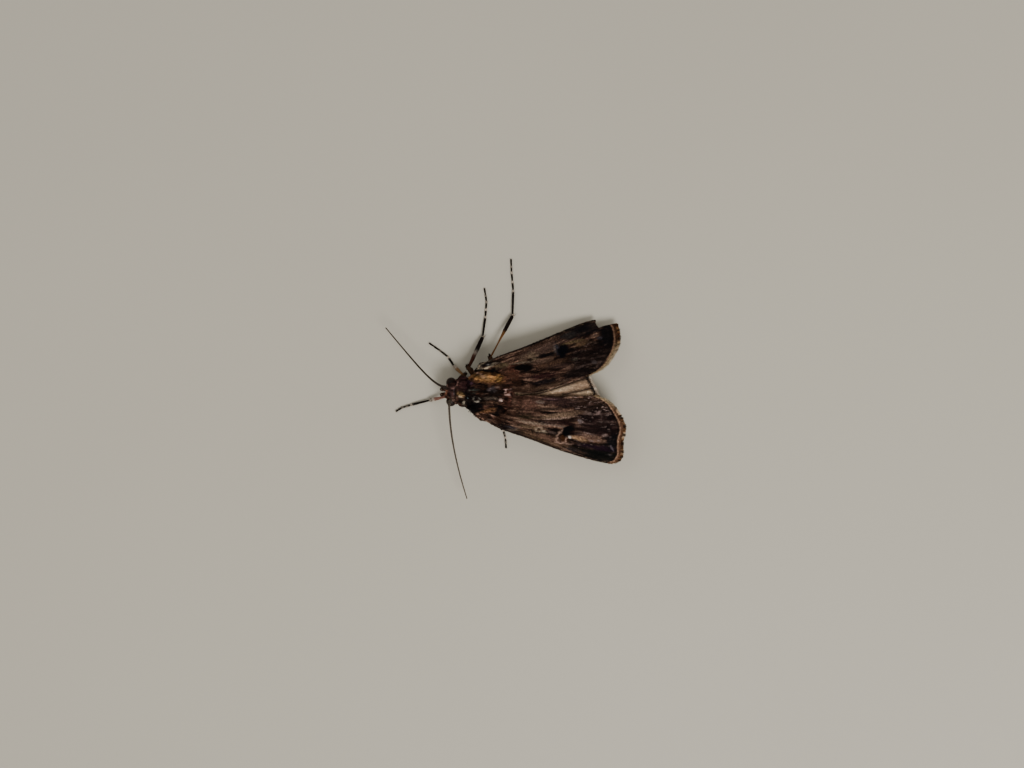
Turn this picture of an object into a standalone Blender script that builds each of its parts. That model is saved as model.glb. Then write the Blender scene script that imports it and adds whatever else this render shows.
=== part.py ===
"""A cutworm moth at rest with half-open wings, life size, parted into its natural pieces.

Sizes are in millimetres in the constants and in metres in the meshes. The animal faces -Y, its
left side is +X, and it stands on the plane Z = 0. Lengths along the body are measured from the
middle of the thorax, and BODY_SHIFT then puts the middle of its extents over the origin.
"""

import math

import bmesh
import bpy
from mathutils import Matrix, Vector

MM = 0.001
BODY_SHIFT = Vector((2.2, -3.34, 0.0))  # from the body's own datum to the row's origin
COLLECTION = "moth"
WELD = 0.02  # distance under which the ends of a tube are one point
JOIN_GAP = 0.1  # clear slit between neighbouring pieces

# Trunk: each piece is an ovoid (centre, half widths, roundness), trimmed flat where it meets the next.
HEAD_CENTRE = Vector((-0.25, -4.6, 3.75))
HEAD_HALF = Vector((1.6, 1.25, 1.6))
EYE_RADIUS = 0.78
EYE_SPREAD = 1.42  # from the middle of the head to the middle of an eye
EYE_CENTRE_Y = -4.78
EYE_CENTRE_Z = 3.62
COLLAR_CENTRE = Vector((-0.3, -3.1, 4.05))
COLLAR_HALF = Vector((2.65, 1.35, 2.35))
THORAX_CENTRE = Vector((-0.05, 0.3, 4.2))
THORAX_HALF = Vector((3.35, 4.4, 2.8))
ABDOMEN_CENTRE = Vector((0.0, 8.3, 2.8))
ABDOMEN_HALF = Vector((2.45, 6.4, 1.85))
ABDOMEN_TAPER = 0.22  # how much narrower the tail end is than the front
NECK_CUT = -3.85
COLLAR_CUT = -2.35
WAIST_CUT = 4.1
TEGULA_CENTRE = Vector((2.5, 0.6, 6.0))
TEGULA_HALF = Vector((1.05, 2.75, 0.6))
TEGULA_ROLL = math.radians(44.0)

# Wings.
WING_THICKNESS = 0.5
RIDGE_HEIGHT = 6.1  # top of the forewings over the middle of the back, at the waist
RIDGE_FALL = 0.05  # how fast the ridge drops toward the tail, per mm
RIDGE_START = 4.0
ROOF_ROUNDING = 2.5  # how far out from the middle the roof is still nearly flat
LEFT_TILT = math.radians(10.0)  # roof slope of each pair beyond that
RIGHT_TILT = math.radians(24.0)
CAMBER = 0.3  # rise of the middle of a forewing over its straight chord
HINDWING_DROP = 0.62  # from the top of a forewing to the top of the hindwing under it
SPAN_STEPS = 20
CHORD_STEPS = 8
HINDWING_SPAN_STEPS = 14
HINDWING_CHORD_STEPS = 6

# Each margin runs away from the thorax, in (distance out from the body's middle, distance back).
LEFT_FOREWING = {
    "costa": [(3.35, -0.75), (5.2, 2.6), (6.8, 7.1), (8.5, 11.6), (9.95, 16.3), (10.65, 19.6)],
    "outer": [(10.65, 19.6), (10.3, 20.7), (9.3, 21.3), (7.3, 21.3), (4.9, 21.65), (2.3, 20.3),
              (0.95, 18.9), (0.38, 17.3)],
    "inner": [(0.3, 4.6), (0.27, 7.5), (0.4, 11.0), (0.5, 14.0), (0.38, 17.3)],
    "base": [(3.35, -0.75), (3.64, 1.0), (3.4, 2.3), (2.2, 4.2), (0.3, 4.6)],
}
RIGHT_FOREWING = {
    "costa": [(4.1, -0.8), (5.6, 2.4), (7.42, 7.2), (9.45, 12.0), (10.85, 15.6), (11.6, 18.9)],
    "outer": [(11.6, 18.9), (11.3, 20.0), (10.2, 20.8), (8.3, 21.0), (6.6, 20.5), (4.6, 19.2),
              (3.5, 17.8), (2.8, 16.1)],
    "inner": [(0.28, 4.6), (0.12, 6.9), (0.5, 9.2), (1.6, 12.6), (2.8, 16.1)],
    "base": [(4.1, -0.8), (3.9, 1.0), (3.4, 2.3), (2.2, 4.2), (0.28, 4.6)],
}
# The worn right wing has lost a strip of its front edge by the tip, with a notch where it tore.
TEAR = [(12.6, 17.35), (10.76, 17.15), (9.98, 17.6), (10.36, 18.7), (10.62, 19.9), (11.0, 21.4),
        (12.6, 21.4)]
LEFT_HINDWING = {
    "costa": [(3.6, 3.6), (5.7, 6.6), (7.1, 10.0), (7.4, 12.6)],
    "outer": [(7.4, 12.6), (6.2, 14.6), (3.6, 16.2), (0.8, 16.9)],
    "inner": [(0.8, 5.0), (0.8, 9.0), (0.8, 13.0), (0.8, 16.9)],
    "base": [(3.6, 3.6), (2.9, 4.3), (1.9, 4.7), (0.8, 5.0)],
}
RIGHT_HINDWING = {
    "costa": [(3.6, 3.6), (6.0, 6.6), (7.7, 9.8), (8.1, 12.2)],
    "outer": [(8.1, 12.2), (6.6, 14.2), (3.2, 16.05), (-0.6, 17.9)],
    "inner": [(-0.2, 5.0), (-0.5, 9.0), (-0.6, 13.0), (-0.6, 17.9)],
    "base": [(3.6, 3.6), (2.7, 4.3), (1.4, 4.8), (-0.2, 5.0)],
}

# Feelers: each leaves the brow on a heading off straight ahead, which eases to a second one.
FEELER_LENGTH = 13.4
FEELER_STEPS = 18
FEELER_RADII = (0.27, 0.25)  # at the brow and at the tip
RIGHT_FEELER = {"base": (-0.9, -5.4, 5.12), "start": -8.0, "end": -49.5, "ease": 0.13,
                "rise": 0.9, "drop": 1.9}
LEFT_FEELER = {"base": (1.05, -5.03, 5.15), "start": 90.0, "end": 115.0, "ease": 0.9,
               "rise": 0.9, "drop": 2.2}
FEELER_STRETCH = {"left": 1.135, "right": 0.985}

# Legs: joints from the body outward as (left or right, back, up). Feet run flat on the ground.
FOOT_Z = 0.24
LEG_RADII = {  # at the joints, and in the thick of the segment that follows each joint
    "joint": [0.36, 0.34, 0.3, 0.27, 0.26, 0.26, 0.25],
    "swell": [0.46, 0.44, 0.4, 0.28, 0.27, 0.27],
}
FOOT_CUT_DEPTH = 2.0
LEGS = {
    "leg_fore_right": [(-0.9, -3.0, 1.15), (-1.1, -4.3, 0.95), (-2.75, -2.95, 1.75),
                       (-4.05, -4.4, 0.5), (-5.62, -5.43, FOOT_Z), (-6.6, -6.7, FOOT_Z),
                       (-7.62, -8.18, FOOT_Z)],
    "leg_fore_left": [(0.9, -2.7, 1.15), (1.0, -3.6, 0.95), (0.45, -5.5, 1.35),
                      (1.0, -8.0, 0.55), (1.78, -11.1, FOOT_Z), (2.2, -12.5, FOOT_Z),
                      (2.7, -13.3, FOOT_Z)],
    "leg_mid_right": [(-1.0, -1.2, 0.85), (-1.9, -0.6, 0.85), (-3.9, -2.2, 2.5),
                      (-8.6, -0.1, 0.55), (-11.8, 0.33, FOOT_Z), (-14.1, 0.5, FOOT_Z),
                      (-16.0, 0.2, FOOT_Z)],
    "leg_mid_left": [(1.0, -0.8, 0.85), (1.75, -0.4, 0.85), (3.35, 0.0, 2.5),
                     (4.1, 1.5, 0.75), (5.75, 3.1, FOOT_Z), (6.9, 3.42, FOOT_Z),
                     (8.25, 3.5, FOOT_Z)],
    "leg_hind_right": [(-1.0, 1.2, 0.85), (-1.9, 1.8, 0.85), (-5.4, 1.1, 2.5),
                       (-11.9, 4.5, 0.55), (-15.8, 4.6, FOOT_Z), (-18.6, 4.35, FOOT_Z),
                       (-20.46, 4.27, FOOT_Z)],
    "leg_hind_left": [(1.0, 1.5, 0.85), (1.9, 2.2, 0.85), (5.0, 3.6, 2.3),
                      (5.6, 9.6, 0.55), (6.3, 12.6, FOOT_Z), (6.7, 14.7, FOOT_Z),
                      (6.9, 16.0, FOOT_Z)],
}

PALP_RADII = (0.26, 0.34, 0.27)
PALP_PATH = [(0.36, -5.95, 2.75), (0.4, -6.2, 3.15), (0.36, -6.28, 3.6)]

# Colour (linear RGB), roughness and metallic value of each kind of piece.
FINISHES = {
    "dark_fur": ((0.035, 0.022, 0.016), 0.9, 0.0),
    "collar_fur": ((0.055, 0.038, 0.034), 0.9, 0.0),
    "tan_fur": ((0.32, 0.15, 0.06), 0.9, 0.0),
    "grey_fur": ((0.17, 0.13, 0.1), 0.9, 0.0),
    "wing_scales": ((0.06, 0.035, 0.022), 0.8, 0.0),
    "pale_wing": ((0.5, 0.4, 0.25), 0.75, 0.0),
    "leg_scales": ((0.03, 0.02, 0.015), 0.8, 0.0),
    "feeler": ((0.07, 0.055, 0.045), 0.7, 0.0),
    "eye": ((0.02, 0.015, 0.015), 0.25, 0.0),
}


def clear_scene():
    """Removes what the file opened with."""
    for item in list(bpy.data.objects):
        bpy.data.objects.remove(item, do_unlink=True)


def collection(name):
    """A collection of this name, linked to the scene."""
    found = bpy.data.collections.new(name)
    bpy.context.scene.collection.children.link(found)
    return found


def finish(name):
    """The material of one kind of surface."""
    if name in bpy.data.materials:
        return bpy.data.materials[name]
    colour, roughness, metallic = FINISHES[name]
    material = bpy.data.materials.new(name)
    material.use_nodes = True
    shader = material.node_tree.nodes["Principled BSDF"]
    shader.inputs["Base Color"].default_value = (*colour, 1.0)
    shader.inputs["Roughness"].default_value = roughness
    shader.inputs["Metallic"].default_value = metallic
    return material


def add_object(name, mesh, surface, group):
    """Puts a mesh in the scene as a named piece, shifted from the body's datum to the origin."""
    piece = bpy.data.objects.new(name, mesh)
    piece.location = BODY_SHIFT * MM
    group.objects.link(piece)
    mesh.materials.append(finish(surface))
    mesh.shade_smooth()
    mesh.set_sharp_from_angle(angle=math.radians(50.0))
    return piece


def mesh_from(bm, name):
    """Turns a bmesh in millimetres into a mesh in metres."""
    bmesh.ops.scale(bm, vec=(MM, MM, MM), verts=bm.verts)
    bmesh.ops.recalc_face_normals(bm, faces=bm.faces)
    mesh = bpy.data.meshes.new(name)
    bm.to_mesh(mesh)
    bm.free()
    return mesh


def smooth_through(points, count):
    """count points along a Catmull-Rom curve through the given ones, ends included."""
    knots = [Vector(p) for p in points]
    knots = [2 * knots[0] - knots[1], *knots, 2 * knots[-1] - knots[-2]]
    spans = len(knots) - 3
    found = []
    for step in range(count):
        place = min(step / (count - 1) * spans, spans - 1e-9)
        first = int(place)
        t = place - first
        a, b, c, d = knots[first:first + 4]
        found.append(0.5 * (2 * b + (c - a) * t + (2 * a - 5 * b + 4 * c - d) * t ** 2
                            + (3 * b - a - 3 * c + d) * t ** 3))
    return found


# ---------------------------------------------------------------- trunk


def ovoid(centre, half, segments, rings, roundness=2.2, taper=0.0, roll=0.0):
    """A superelliptic ovoid along Y. taper narrows its back end, and roll turns it about Y."""
    bm = bmesh.new()
    bmesh.ops.create_uvsphere(bm, u_segments=segments, v_segments=rings, radius=1.0,
                              matrix=Matrix.Rotation(math.pi / 2, 4, "X"))
    for vertex in bm.verts:
        along = max(-1.0, min(1.0, vertex.co.y))
        around = math.sqrt(max(1e-12, 1.0 - along ** 2))
        fullness = (1.0 - abs(along) ** roundness) ** (1.0 / roundness)
        widen = fullness / around * (1.0 - taper * (along + 1.0) / 2.0)
        if abs(along) > 0.9999:
            widen = 0.0
        vertex.co = Vector((vertex.co.x * widen * half.x, along * half.y,
                            vertex.co.z * widen * half.z))
    bmesh.ops.rotate(bm, verts=bm.verts, matrix=Matrix.Rotation(roll, 3, "Y"))
    bmesh.ops.translate(bm, verts=bm.verts, vec=centre)
    return bm


def trim(bm, cut_y, keep_front):
    """Cuts the ovoid square across at cut_y, keeps one side and closes the cut."""
    away = Vector((0.0, 1.0 if keep_front else -1.0, 0.0))
    geometry = bm.verts[:] + bm.edges[:] + bm.faces[:]
    cut = bmesh.ops.bisect_plane(bm, geom=geometry, plane_co=(0.0, cut_y, 0.0), plane_no=away,
                                 clear_outer=True)
    rim = [item for item in cut["geom_cut"] if isinstance(item, bmesh.types.BMEdge)]
    bmesh.ops.holes_fill(bm, edges=rim)
    return bm


def carve(piece, cutter):
    """Takes the cutter's shape out of the piece."""
    cutter.hide_render = True
    cutter.display_type = "WIRE"
    cut = piece.modifiers.new("seat of " + cutter.name, "BOOLEAN")
    cut.operation = "DIFFERENCE"
    cut.solver = "EXACT"
    cut.object = cutter


def eye_centre(side):
    """Middle of an eye. side is 1 on the left and -1 on the right."""
    return Vector((HEAD_CENTRE.x + side * EYE_SPREAD, EYE_CENTRE_Y, EYE_CENTRE_Z))


def tegula(side, grow=0.0):
    """The shoulder flap over a wing's root, or with grow the seat that it lies in."""
    centre = Vector((side * TEGULA_CENTRE.x, TEGULA_CENTRE.y, TEGULA_CENTRE.z))
    half = TEGULA_HALF + Vector((grow, grow, grow))
    return ovoid(centre, half, 14, 12, roundness=2.4, roll=side * TEGULA_ROLL)


def build_head(parts, cutters):
    """The head between its two round eyes, each in a shallow seat."""
    shape = trim(ovoid(HEAD_CENTRE, HEAD_HALF, 20, 14), NECK_CUT - JOIN_GAP / 2, True)
    head = add_object("head", mesh_from(shape, "head"), "grey_fur", parts)
    for side, word in ((1, "left"), (-1, "right")):
        eye = Vector((EYE_RADIUS,) * 3)
        seat = eye + Vector((JOIN_GAP,) * 3) * 0.5
        ball = mesh_from(ovoid(eye_centre(side), eye, 16, 12, roundness=2.0), "eye")
        add_object("eye_" + word, ball, "eye", parts)
        hollow = mesh_from(ovoid(eye_centre(side), seat, 16, 12, roundness=2.0), "eye seat")
        carve(head, add_object("eye_seat_" + word, hollow, "eye", cutters))


def build_trunk(parts, cutters):
    """Collar, thorax with its two shoulder flaps, and abdomen, parted by thin square cuts."""
    collar = ovoid(COLLAR_CENTRE, COLLAR_HALF, 20, 14)
    collar = trim(collar, NECK_CUT + JOIN_GAP / 2, False)
    collar = trim(collar, COLLAR_CUT - JOIN_GAP / 2, True)
    add_object("collar", mesh_from(collar, "collar"), "collar_fur", parts)
    thorax = ovoid(THORAX_CENTRE, THORAX_HALF, 24, 16)
    thorax = trim(thorax, COLLAR_CUT + JOIN_GAP / 2, False)
    thorax = trim(thorax, WAIST_CUT - JOIN_GAP / 2, True)
    thorax = add_object("thorax", mesh_from(thorax, "thorax"), "dark_fur", parts)
    for side, word in ((1, "left"), (-1, "right")):
        flap = trim(tegula(side), COLLAR_CUT + JOIN_GAP / 2, False)
        add_object("tegula_" + word, mesh_from(flap, "tegula"), "tan_fur", parts)
        seat = mesh_from(tegula(side, JOIN_GAP), "tegula seat")
        carve(thorax, add_object("tegula_seat_" + word, seat, "tan_fur", cutters))
    abdomen = ovoid(ABDOMEN_CENTRE, ABDOMEN_HALF, 20, 20, roundness=2.5, taper=ABDOMEN_TAPER)
    abdomen = trim(abdomen, WAIST_CUT + JOIN_GAP / 2, False)
    add_object("abdomen", mesh_from(abdomen, "abdomen"), "grey_fur", parts)


# ---------------------------------------------------------------- wings


def roof_height(out, back, tilt):
    """Height of the top of the forewings at a place out from the middle and back."""
    ridge = RIDGE_HEIGHT - RIDGE_FALL * (back - RIDGE_START)
    reach = math.hypot(max(out, 0.0), ROOF_ROUNDING) - ROOF_ROUNDING
    return ridge - math.tan(tilt) * reach


def wing_surface(margins, side, tilt, drop, camber, span_steps, chord_steps):
    """One wing's upper skin: a patch blended between its four margins and laid on the roof."""
    costa = smooth_through(margins["costa"], span_steps + 1)
    inner = smooth_through(margins["inner"], span_steps + 1)
    base = smooth_through(margins["base"], chord_steps + 1)
    outer = smooth_through(margins["outer"], chord_steps + 1)
    bm = bmesh.new()
    rows = []
    for i in range(span_steps + 1):
        u = i / span_steps
        row = []
        for j in range(chord_steps + 1):
            v = j / chord_steps
            corners = ((1 - u) * ((1 - v) * costa[0] + v * inner[0])
                       + u * ((1 - v) * costa[-1] + v * inner[-1]))
            place = ((1 - v) * costa[i] + v * inner[i] + (1 - u) * base[j] + u * outer[j]
                     - corners)
            arch = camber * math.sin(math.pi * v) * min(1.0, 3.0 * u)
            height = roof_height(place.x, place.y, tilt) + arch - drop
            row.append(bm.verts.new((side * place.x, place.y, height)))
        rows.append(row)
    for near, far in zip(rows, rows[1:]):
        for j in range(chord_steps):
            bm.faces.new((near[j], near[j + 1], far[j + 1], far[j]))
    bmesh.ops.recalc_face_normals(bm, faces=bm.faces)
    if sum(face.normal.z for face in bm.faces) < 0:
        bmesh.ops.reverse_faces(bm, faces=bm.faces)
    return bm


def wing(name, margins, side, tilt, fore, parts):
    """A wing as a slab under its upper skin. A forewing is arched, and a hindwing lies under it."""
    if fore:
        bm = wing_surface(margins, side, tilt, 0.0, CAMBER, SPAN_STEPS, CHORD_STEPS)
    else:
        bm = wing_surface(margins, side, tilt, HINDWING_DROP, 0.0, HINDWING_SPAN_STEPS,
                          HINDWING_CHORD_STEPS)
    bmesh.ops.scale(bm, vec=(MM, MM, MM), verts=bm.verts)
    mesh = bpy.data.meshes.new(name)
    bm.to_mesh(mesh)
    bm.free()
    piece = add_object(name, mesh, "wing_scales" if fore else "pale_wing", parts)
    slab = piece.modifiers.new("thickness", "SOLIDIFY")
    slab.thickness = WING_THICKNESS * MM
    slab.offset = -1.0
    return piece


def tear_cutter(cutters):
    """A flat prism over the strip that the right forewing has lost."""
    bm = bmesh.new()
    ring = [bm.verts.new((-out, back, -1.0)) for out, back in TEAR]
    face = bm.faces.new(ring)
    lifted = bmesh.ops.extrude_face_region(bm, geom=[face])
    tops = [item for item in lifted["geom"] if isinstance(item, bmesh.types.BMVert)]
    bmesh.ops.translate(bm, verts=tops, vec=(0.0, 0.0, 8.0))
    return add_object("tear", mesh_from(bm, "tear"), "wing_scales", cutters)


def build_wings(parts, cutters):
    """Forewings over hindwings. The right pair slopes more, and its forewing is torn."""
    wing("forewing_left", LEFT_FOREWING, 1, LEFT_TILT, True, parts)
    torn = wing("forewing_right", RIGHT_FOREWING, -1, RIGHT_TILT, True, parts)
    carve(torn, tear_cutter(cutters))
    wing("hindwing_left", LEFT_HINDWING, 1, LEFT_TILT, False, parts)
    wing("hindwing_right", RIGHT_HINDWING, -1, RIGHT_TILT, False, parts)


# ---------------------------------------------------------------- limbs


def tube(name, points, radii, surface, parts):
    """A round tapering piece along points, with its end caps welded on."""
    curve = bpy.data.curves.new(name, "CURVE")
    curve.dimensions = "3D"
    curve.bevel_depth = MM
    curve.bevel_resolution = 2
    curve.use_fill_caps = True
    path = curve.splines.new("POLY")
    path.points.add(len(points) - 1)
    for knot, point, radius in zip(path.points, points, radii):
        knot.co = (*(Vector(point) * MM), 1.0)
        knot.radius = radius
    guide = bpy.data.objects.new(name + "_path", curve)
    parts.objects.link(guide)
    evaluated = guide.evaluated_get(bpy.context.evaluated_depsgraph_get())
    mesh = bpy.data.meshes.new_from_object(evaluated)
    bpy.data.objects.remove(guide)
    bm = bmesh.new()
    bm.from_mesh(mesh)
    bmesh.ops.remove_doubles(bm, verts=bm.verts, dist=WELD * MM)
    bmesh.ops.recalc_face_normals(bm, faces=bm.faces)
    bm.to_mesh(mesh)
    bm.free()
    mesh.materials.clear()
    return add_object(name, mesh, surface, parts)


def feeler_points(shape, stretch):
    """A feeler's line: its heading eases from one angle off straight ahead to another."""
    x, y, base_z = shape["base"]
    step = FEELER_LENGTH * stretch / FEELER_STEPS
    points = [Vector(shape["base"])]
    for i in range(1, FEELER_STEPS + 1):
        t = i / FEELER_STEPS
        eased = 1.0 - math.exp(-(t - 0.5 / FEELER_STEPS) / shape["ease"])
        heading = math.radians(shape["start"] + (shape["end"] - shape["start"]) * eased)
        x += math.sin(heading) * step
        y -= math.cos(heading) * step
        height = base_z + shape["rise"] * math.sin(math.pi * t ** 0.7) - shape["drop"] * t
        points.append(Vector((x, y, height)))
    return points


def build_feelers(parts):
    """Both feelers and the two short palps that stand up in front of the face."""
    root, tip = FEELER_RADII
    for word, shape in (("left", LEFT_FEELER), ("right", RIGHT_FEELER)):
        points = feeler_points(shape, FEELER_STRETCH[word])
        radii = [root + (tip - root) * i / FEELER_STEPS for i in range(FEELER_STEPS + 1)]
        tube("antenna_" + word, points, radii, "feeler", parts)
    for side, word in ((1, "left"), (-1, "right")):
        points = [(HEAD_CENTRE.x + side * out, back, up) for out, back, up in PALP_PATH]
        tube("palp_" + word, smooth_through(points, 5),
             [r.x for r in smooth_through([(r, 0.0) for r in PALP_RADII], 5)], "grey_fur", parts)


def leg_line(joints):
    """The joints of a leg with two more points in the thick of each segment, and the radii."""
    points, radii = [], []
    for i, (near, far) in enumerate(zip(joints, joints[1:])):
        near, far = Vector(near), Vector(far)
        points += [near, near.lerp(far, 0.25), near.lerp(far, 0.7)]
        radii += [LEG_RADII["joint"][i], LEG_RADII["swell"][i], LEG_RADII["swell"][i]]
    points.append(Vector(joints[-1]))
    radii.append(LEG_RADII["joint"][len(joints) - 1])
    return points, radii


def build_legs(parts, cutters):
    """Six jointed legs. The ground takes a thin slice off each foot, so that it stands flat."""
    bm = bmesh.new()
    bmesh.ops.create_cube(bm, size=1.0)
    bmesh.ops.scale(bm, vec=(60.0, 60.0, FOOT_CUT_DEPTH), verts=bm.verts)
    bmesh.ops.translate(bm, verts=bm.verts, vec=(0.0, 0.0, -FOOT_CUT_DEPTH / 2))
    ground = add_object("ground", mesh_from(bm, "ground"), "leg_scales", cutters)
    for name, joints in LEGS.items():
        carve(tube(name, *leg_line(joints), "leg_scales", parts), ground)


def main():
    """Builds the whole animal."""
    clear_scene()
    parts = collection(COLLECTION)
    cutters = collection("cutters")
    build_head(parts, cutters)
    build_trunk(parts, cutters)
    build_wings(parts, cutters)
    build_feelers(parts)
    build_legs(parts, cutters)


main()
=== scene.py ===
"""The looks of a cutworm moth at rest, life size: skin, coat of hair-scales, scaled wings and eyes.

Shapes are worked out in millimetres from the middle of the thorax, with the head toward -Y and the
moth's left side toward +X. BodyDatum takes them into the frame, in metres.
"""

import logging
import math
from dataclasses import dataclass, field
from enum import Enum

import bpy
import numpy as np
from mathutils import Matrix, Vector


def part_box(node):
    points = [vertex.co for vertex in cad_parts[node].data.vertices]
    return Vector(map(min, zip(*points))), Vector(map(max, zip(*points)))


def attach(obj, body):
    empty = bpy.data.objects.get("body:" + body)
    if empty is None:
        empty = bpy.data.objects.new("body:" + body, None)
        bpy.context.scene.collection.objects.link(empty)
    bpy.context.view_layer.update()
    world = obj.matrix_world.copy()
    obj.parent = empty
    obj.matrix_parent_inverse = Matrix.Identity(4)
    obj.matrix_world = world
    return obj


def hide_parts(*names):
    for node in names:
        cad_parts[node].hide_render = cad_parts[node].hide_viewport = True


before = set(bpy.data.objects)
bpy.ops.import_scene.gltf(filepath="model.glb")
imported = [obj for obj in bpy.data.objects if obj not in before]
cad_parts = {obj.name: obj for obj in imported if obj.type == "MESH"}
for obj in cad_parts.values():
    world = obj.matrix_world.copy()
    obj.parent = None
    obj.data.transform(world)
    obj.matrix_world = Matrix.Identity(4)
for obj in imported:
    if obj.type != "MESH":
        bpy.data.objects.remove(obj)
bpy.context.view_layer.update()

MM = 0.001
SEED = 1370
MARKINGS = "Markings"  # name of the colour attribute that every piece of the moth carries
TUFT_PATCH = 0.003  # width of a tuft's patch on its unwrap
UP = (0.0, 0.0, 1.0)
log = logging.getLogger("moth")

Array = np.ndarray
Pair = tuple[float, float]
Triple = tuple[float, float, float]
Floats = tuple[float, ...]
Dice = np.random.Generator
Socket = bpy.types.NodeSocket
Piece = bpy.types.Object
Form = tuple[Array, list[Array]]  # points and blocks of faces


# ---- small tools


def linear(hex_code: str) -> Array:
    """Turns an sRGB hex colour into linear RGB."""
    value = np.array([int(hex_code[i:i + 2], 16) / 255.0 for i in (1, 3, 5)])
    return np.where(value <= 0.04045, value / 12.92, ((value + 0.055) / 1.055) ** 2.4)


def unit(vectors: Array) -> Array:
    """Scales each row to length one."""
    return vectors / np.maximum(np.linalg.norm(vectors, axis=-1, keepdims=True), 1e-9)


def fade(low: float, high: float, value: Array) -> Array:
    """Smooth step from 0 at low to 1 at high; low may be the greater."""
    t = np.clip((value - low) / (high - low), 0.0, 1.0)
    return t * t * (3.0 - 2.0 * t)


def mix(base: Array | str, over: Array | str, share: Array | float) -> Array:
    """Lays a colour over another, each linear RGB or a hex code, by a share for each row."""
    base, over = (linear(tone) if isinstance(tone, str) else tone for tone in (base, over))
    return base + (over - base) * np.asarray(share)[..., None]


def ramp(value: Array, stops: Floats, tones: tuple[str, ...]) -> Array:
    """Linear RGB between tones, one at each stop of the value."""
    rgb = np.array([linear(tone) for tone in tones])
    return np.stack([np.interp(value, stops, channel) for channel in rgb.T], -1)


def through(knots: list[Floats], t: Array) -> Array:
    """Points along a Catmull-Rom curve through knots.

    Args:
        knots: The points that the curve passes.
        t: Places along the curve, from 0 to 1.

    Returns:
        One row for each place.
    """
    given = np.array(knots, float)
    ring = np.vstack([2 * given[0] - given[1], given, 2 * given[-1] - given[-2]])
    place = np.clip(np.asarray(t, float), 0.0, 1.0 - 1e-9) * (len(given) - 1)
    first = place.astype(int)
    f = (place - first)[:, None]
    a, b, c, d = (ring[first + k] for k in range(4))
    return 0.5 * (2 * b + (c - a) * f + (2 * a - 5 * b + 4 * c - d) * f ** 2
                  + (3 * b - a - 3 * c + d) * f ** 3)


class Grain:
    """Smooth seeded noise in space, between -1 and 1, with cells one unit wide."""

    CELLS = 32

    def __init__(self, seed: int) -> None:
        """Fills the lattice."""
        self.lattice = np.random.default_rng(seed).uniform(-1.0, 1.0, (self.CELLS,) * 3)

    def at(self, x: Array, y: Array, z: Array | float = 0.0) -> Array:
        """Reads the noise.

        Args:
            x, y, z: Coordinates, in cells.

        Returns:
            The value at each place.
        """
        x, y, z = np.broadcast_arrays(np.asarray(x, float), y, z)
        whole = [np.floor(a).astype(int) for a in (x, y, z)]
        part = [a - w for a, w in zip((x, y, z), whole)]
        part = [p * p * (3.0 - 2.0 * p) for p in part]
        total = np.zeros(x.shape)
        for corner in range(8):
            steps = [(corner >> k) & 1 for k in range(3)]
            cell = tuple((w + s) % self.CELLS for w, s in zip(whole, steps))
            weight = np.ones(x.shape)
            for p, s in zip(part, steps):
                weight = weight * (p if s else 1.0 - p)
            total += weight * self.lattice[cell]
        return total


class Side(Enum):
    """A side of the animal; the value is the sign of X there."""

    LEFT = 1
    RIGHT = -1

    @property
    def word(self) -> str:
        """The side's name in the frame's nodes."""
        return self.name.lower()


@dataclass(frozen=True)
class BodyDatum:
    """The animal's own measuring point in the frame."""

    thorax_middle_x: float = -0.05
    thorax_front_y: float = -2.3

    def shift(self) -> Array:
        """Way from the middle of the thorax to the frame's origin, in millimetres."""
        low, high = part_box("thorax")
        return np.array([(low.x + high.x) / 2 / MM - self.thorax_middle_x,
                         low.y / MM - self.thorax_front_y, 0.0])


DATUM_SHIFT = BodyDatum().shift()


# ---- meshes


def show(name: str, data: bpy.types.ID) -> Piece:
    """Makes an object of its data and puts it in the scene.

    Args:
        name: Its name.
        data: Its mesh, lamp or camera.

    Returns:
        The object.
    """
    made = bpy.data.objects.new(name, data)
    bpy.context.scene.collection.objects.link(made)
    return made


def values_of(items: bpy.types.bpy_prop_collection, name: str, kind: type) -> Array:
    """Reads three values of every item of a mesh, one row each.

    Args:
        items: Points or faces of the mesh.
        name: Name of the values.
        kind: Their type.

    Returns:
        The values.
    """
    values = np.zeros(len(items) * 3, kind)
    items.foreach_get(name, values)
    return values.reshape(-1, 3)


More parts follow.
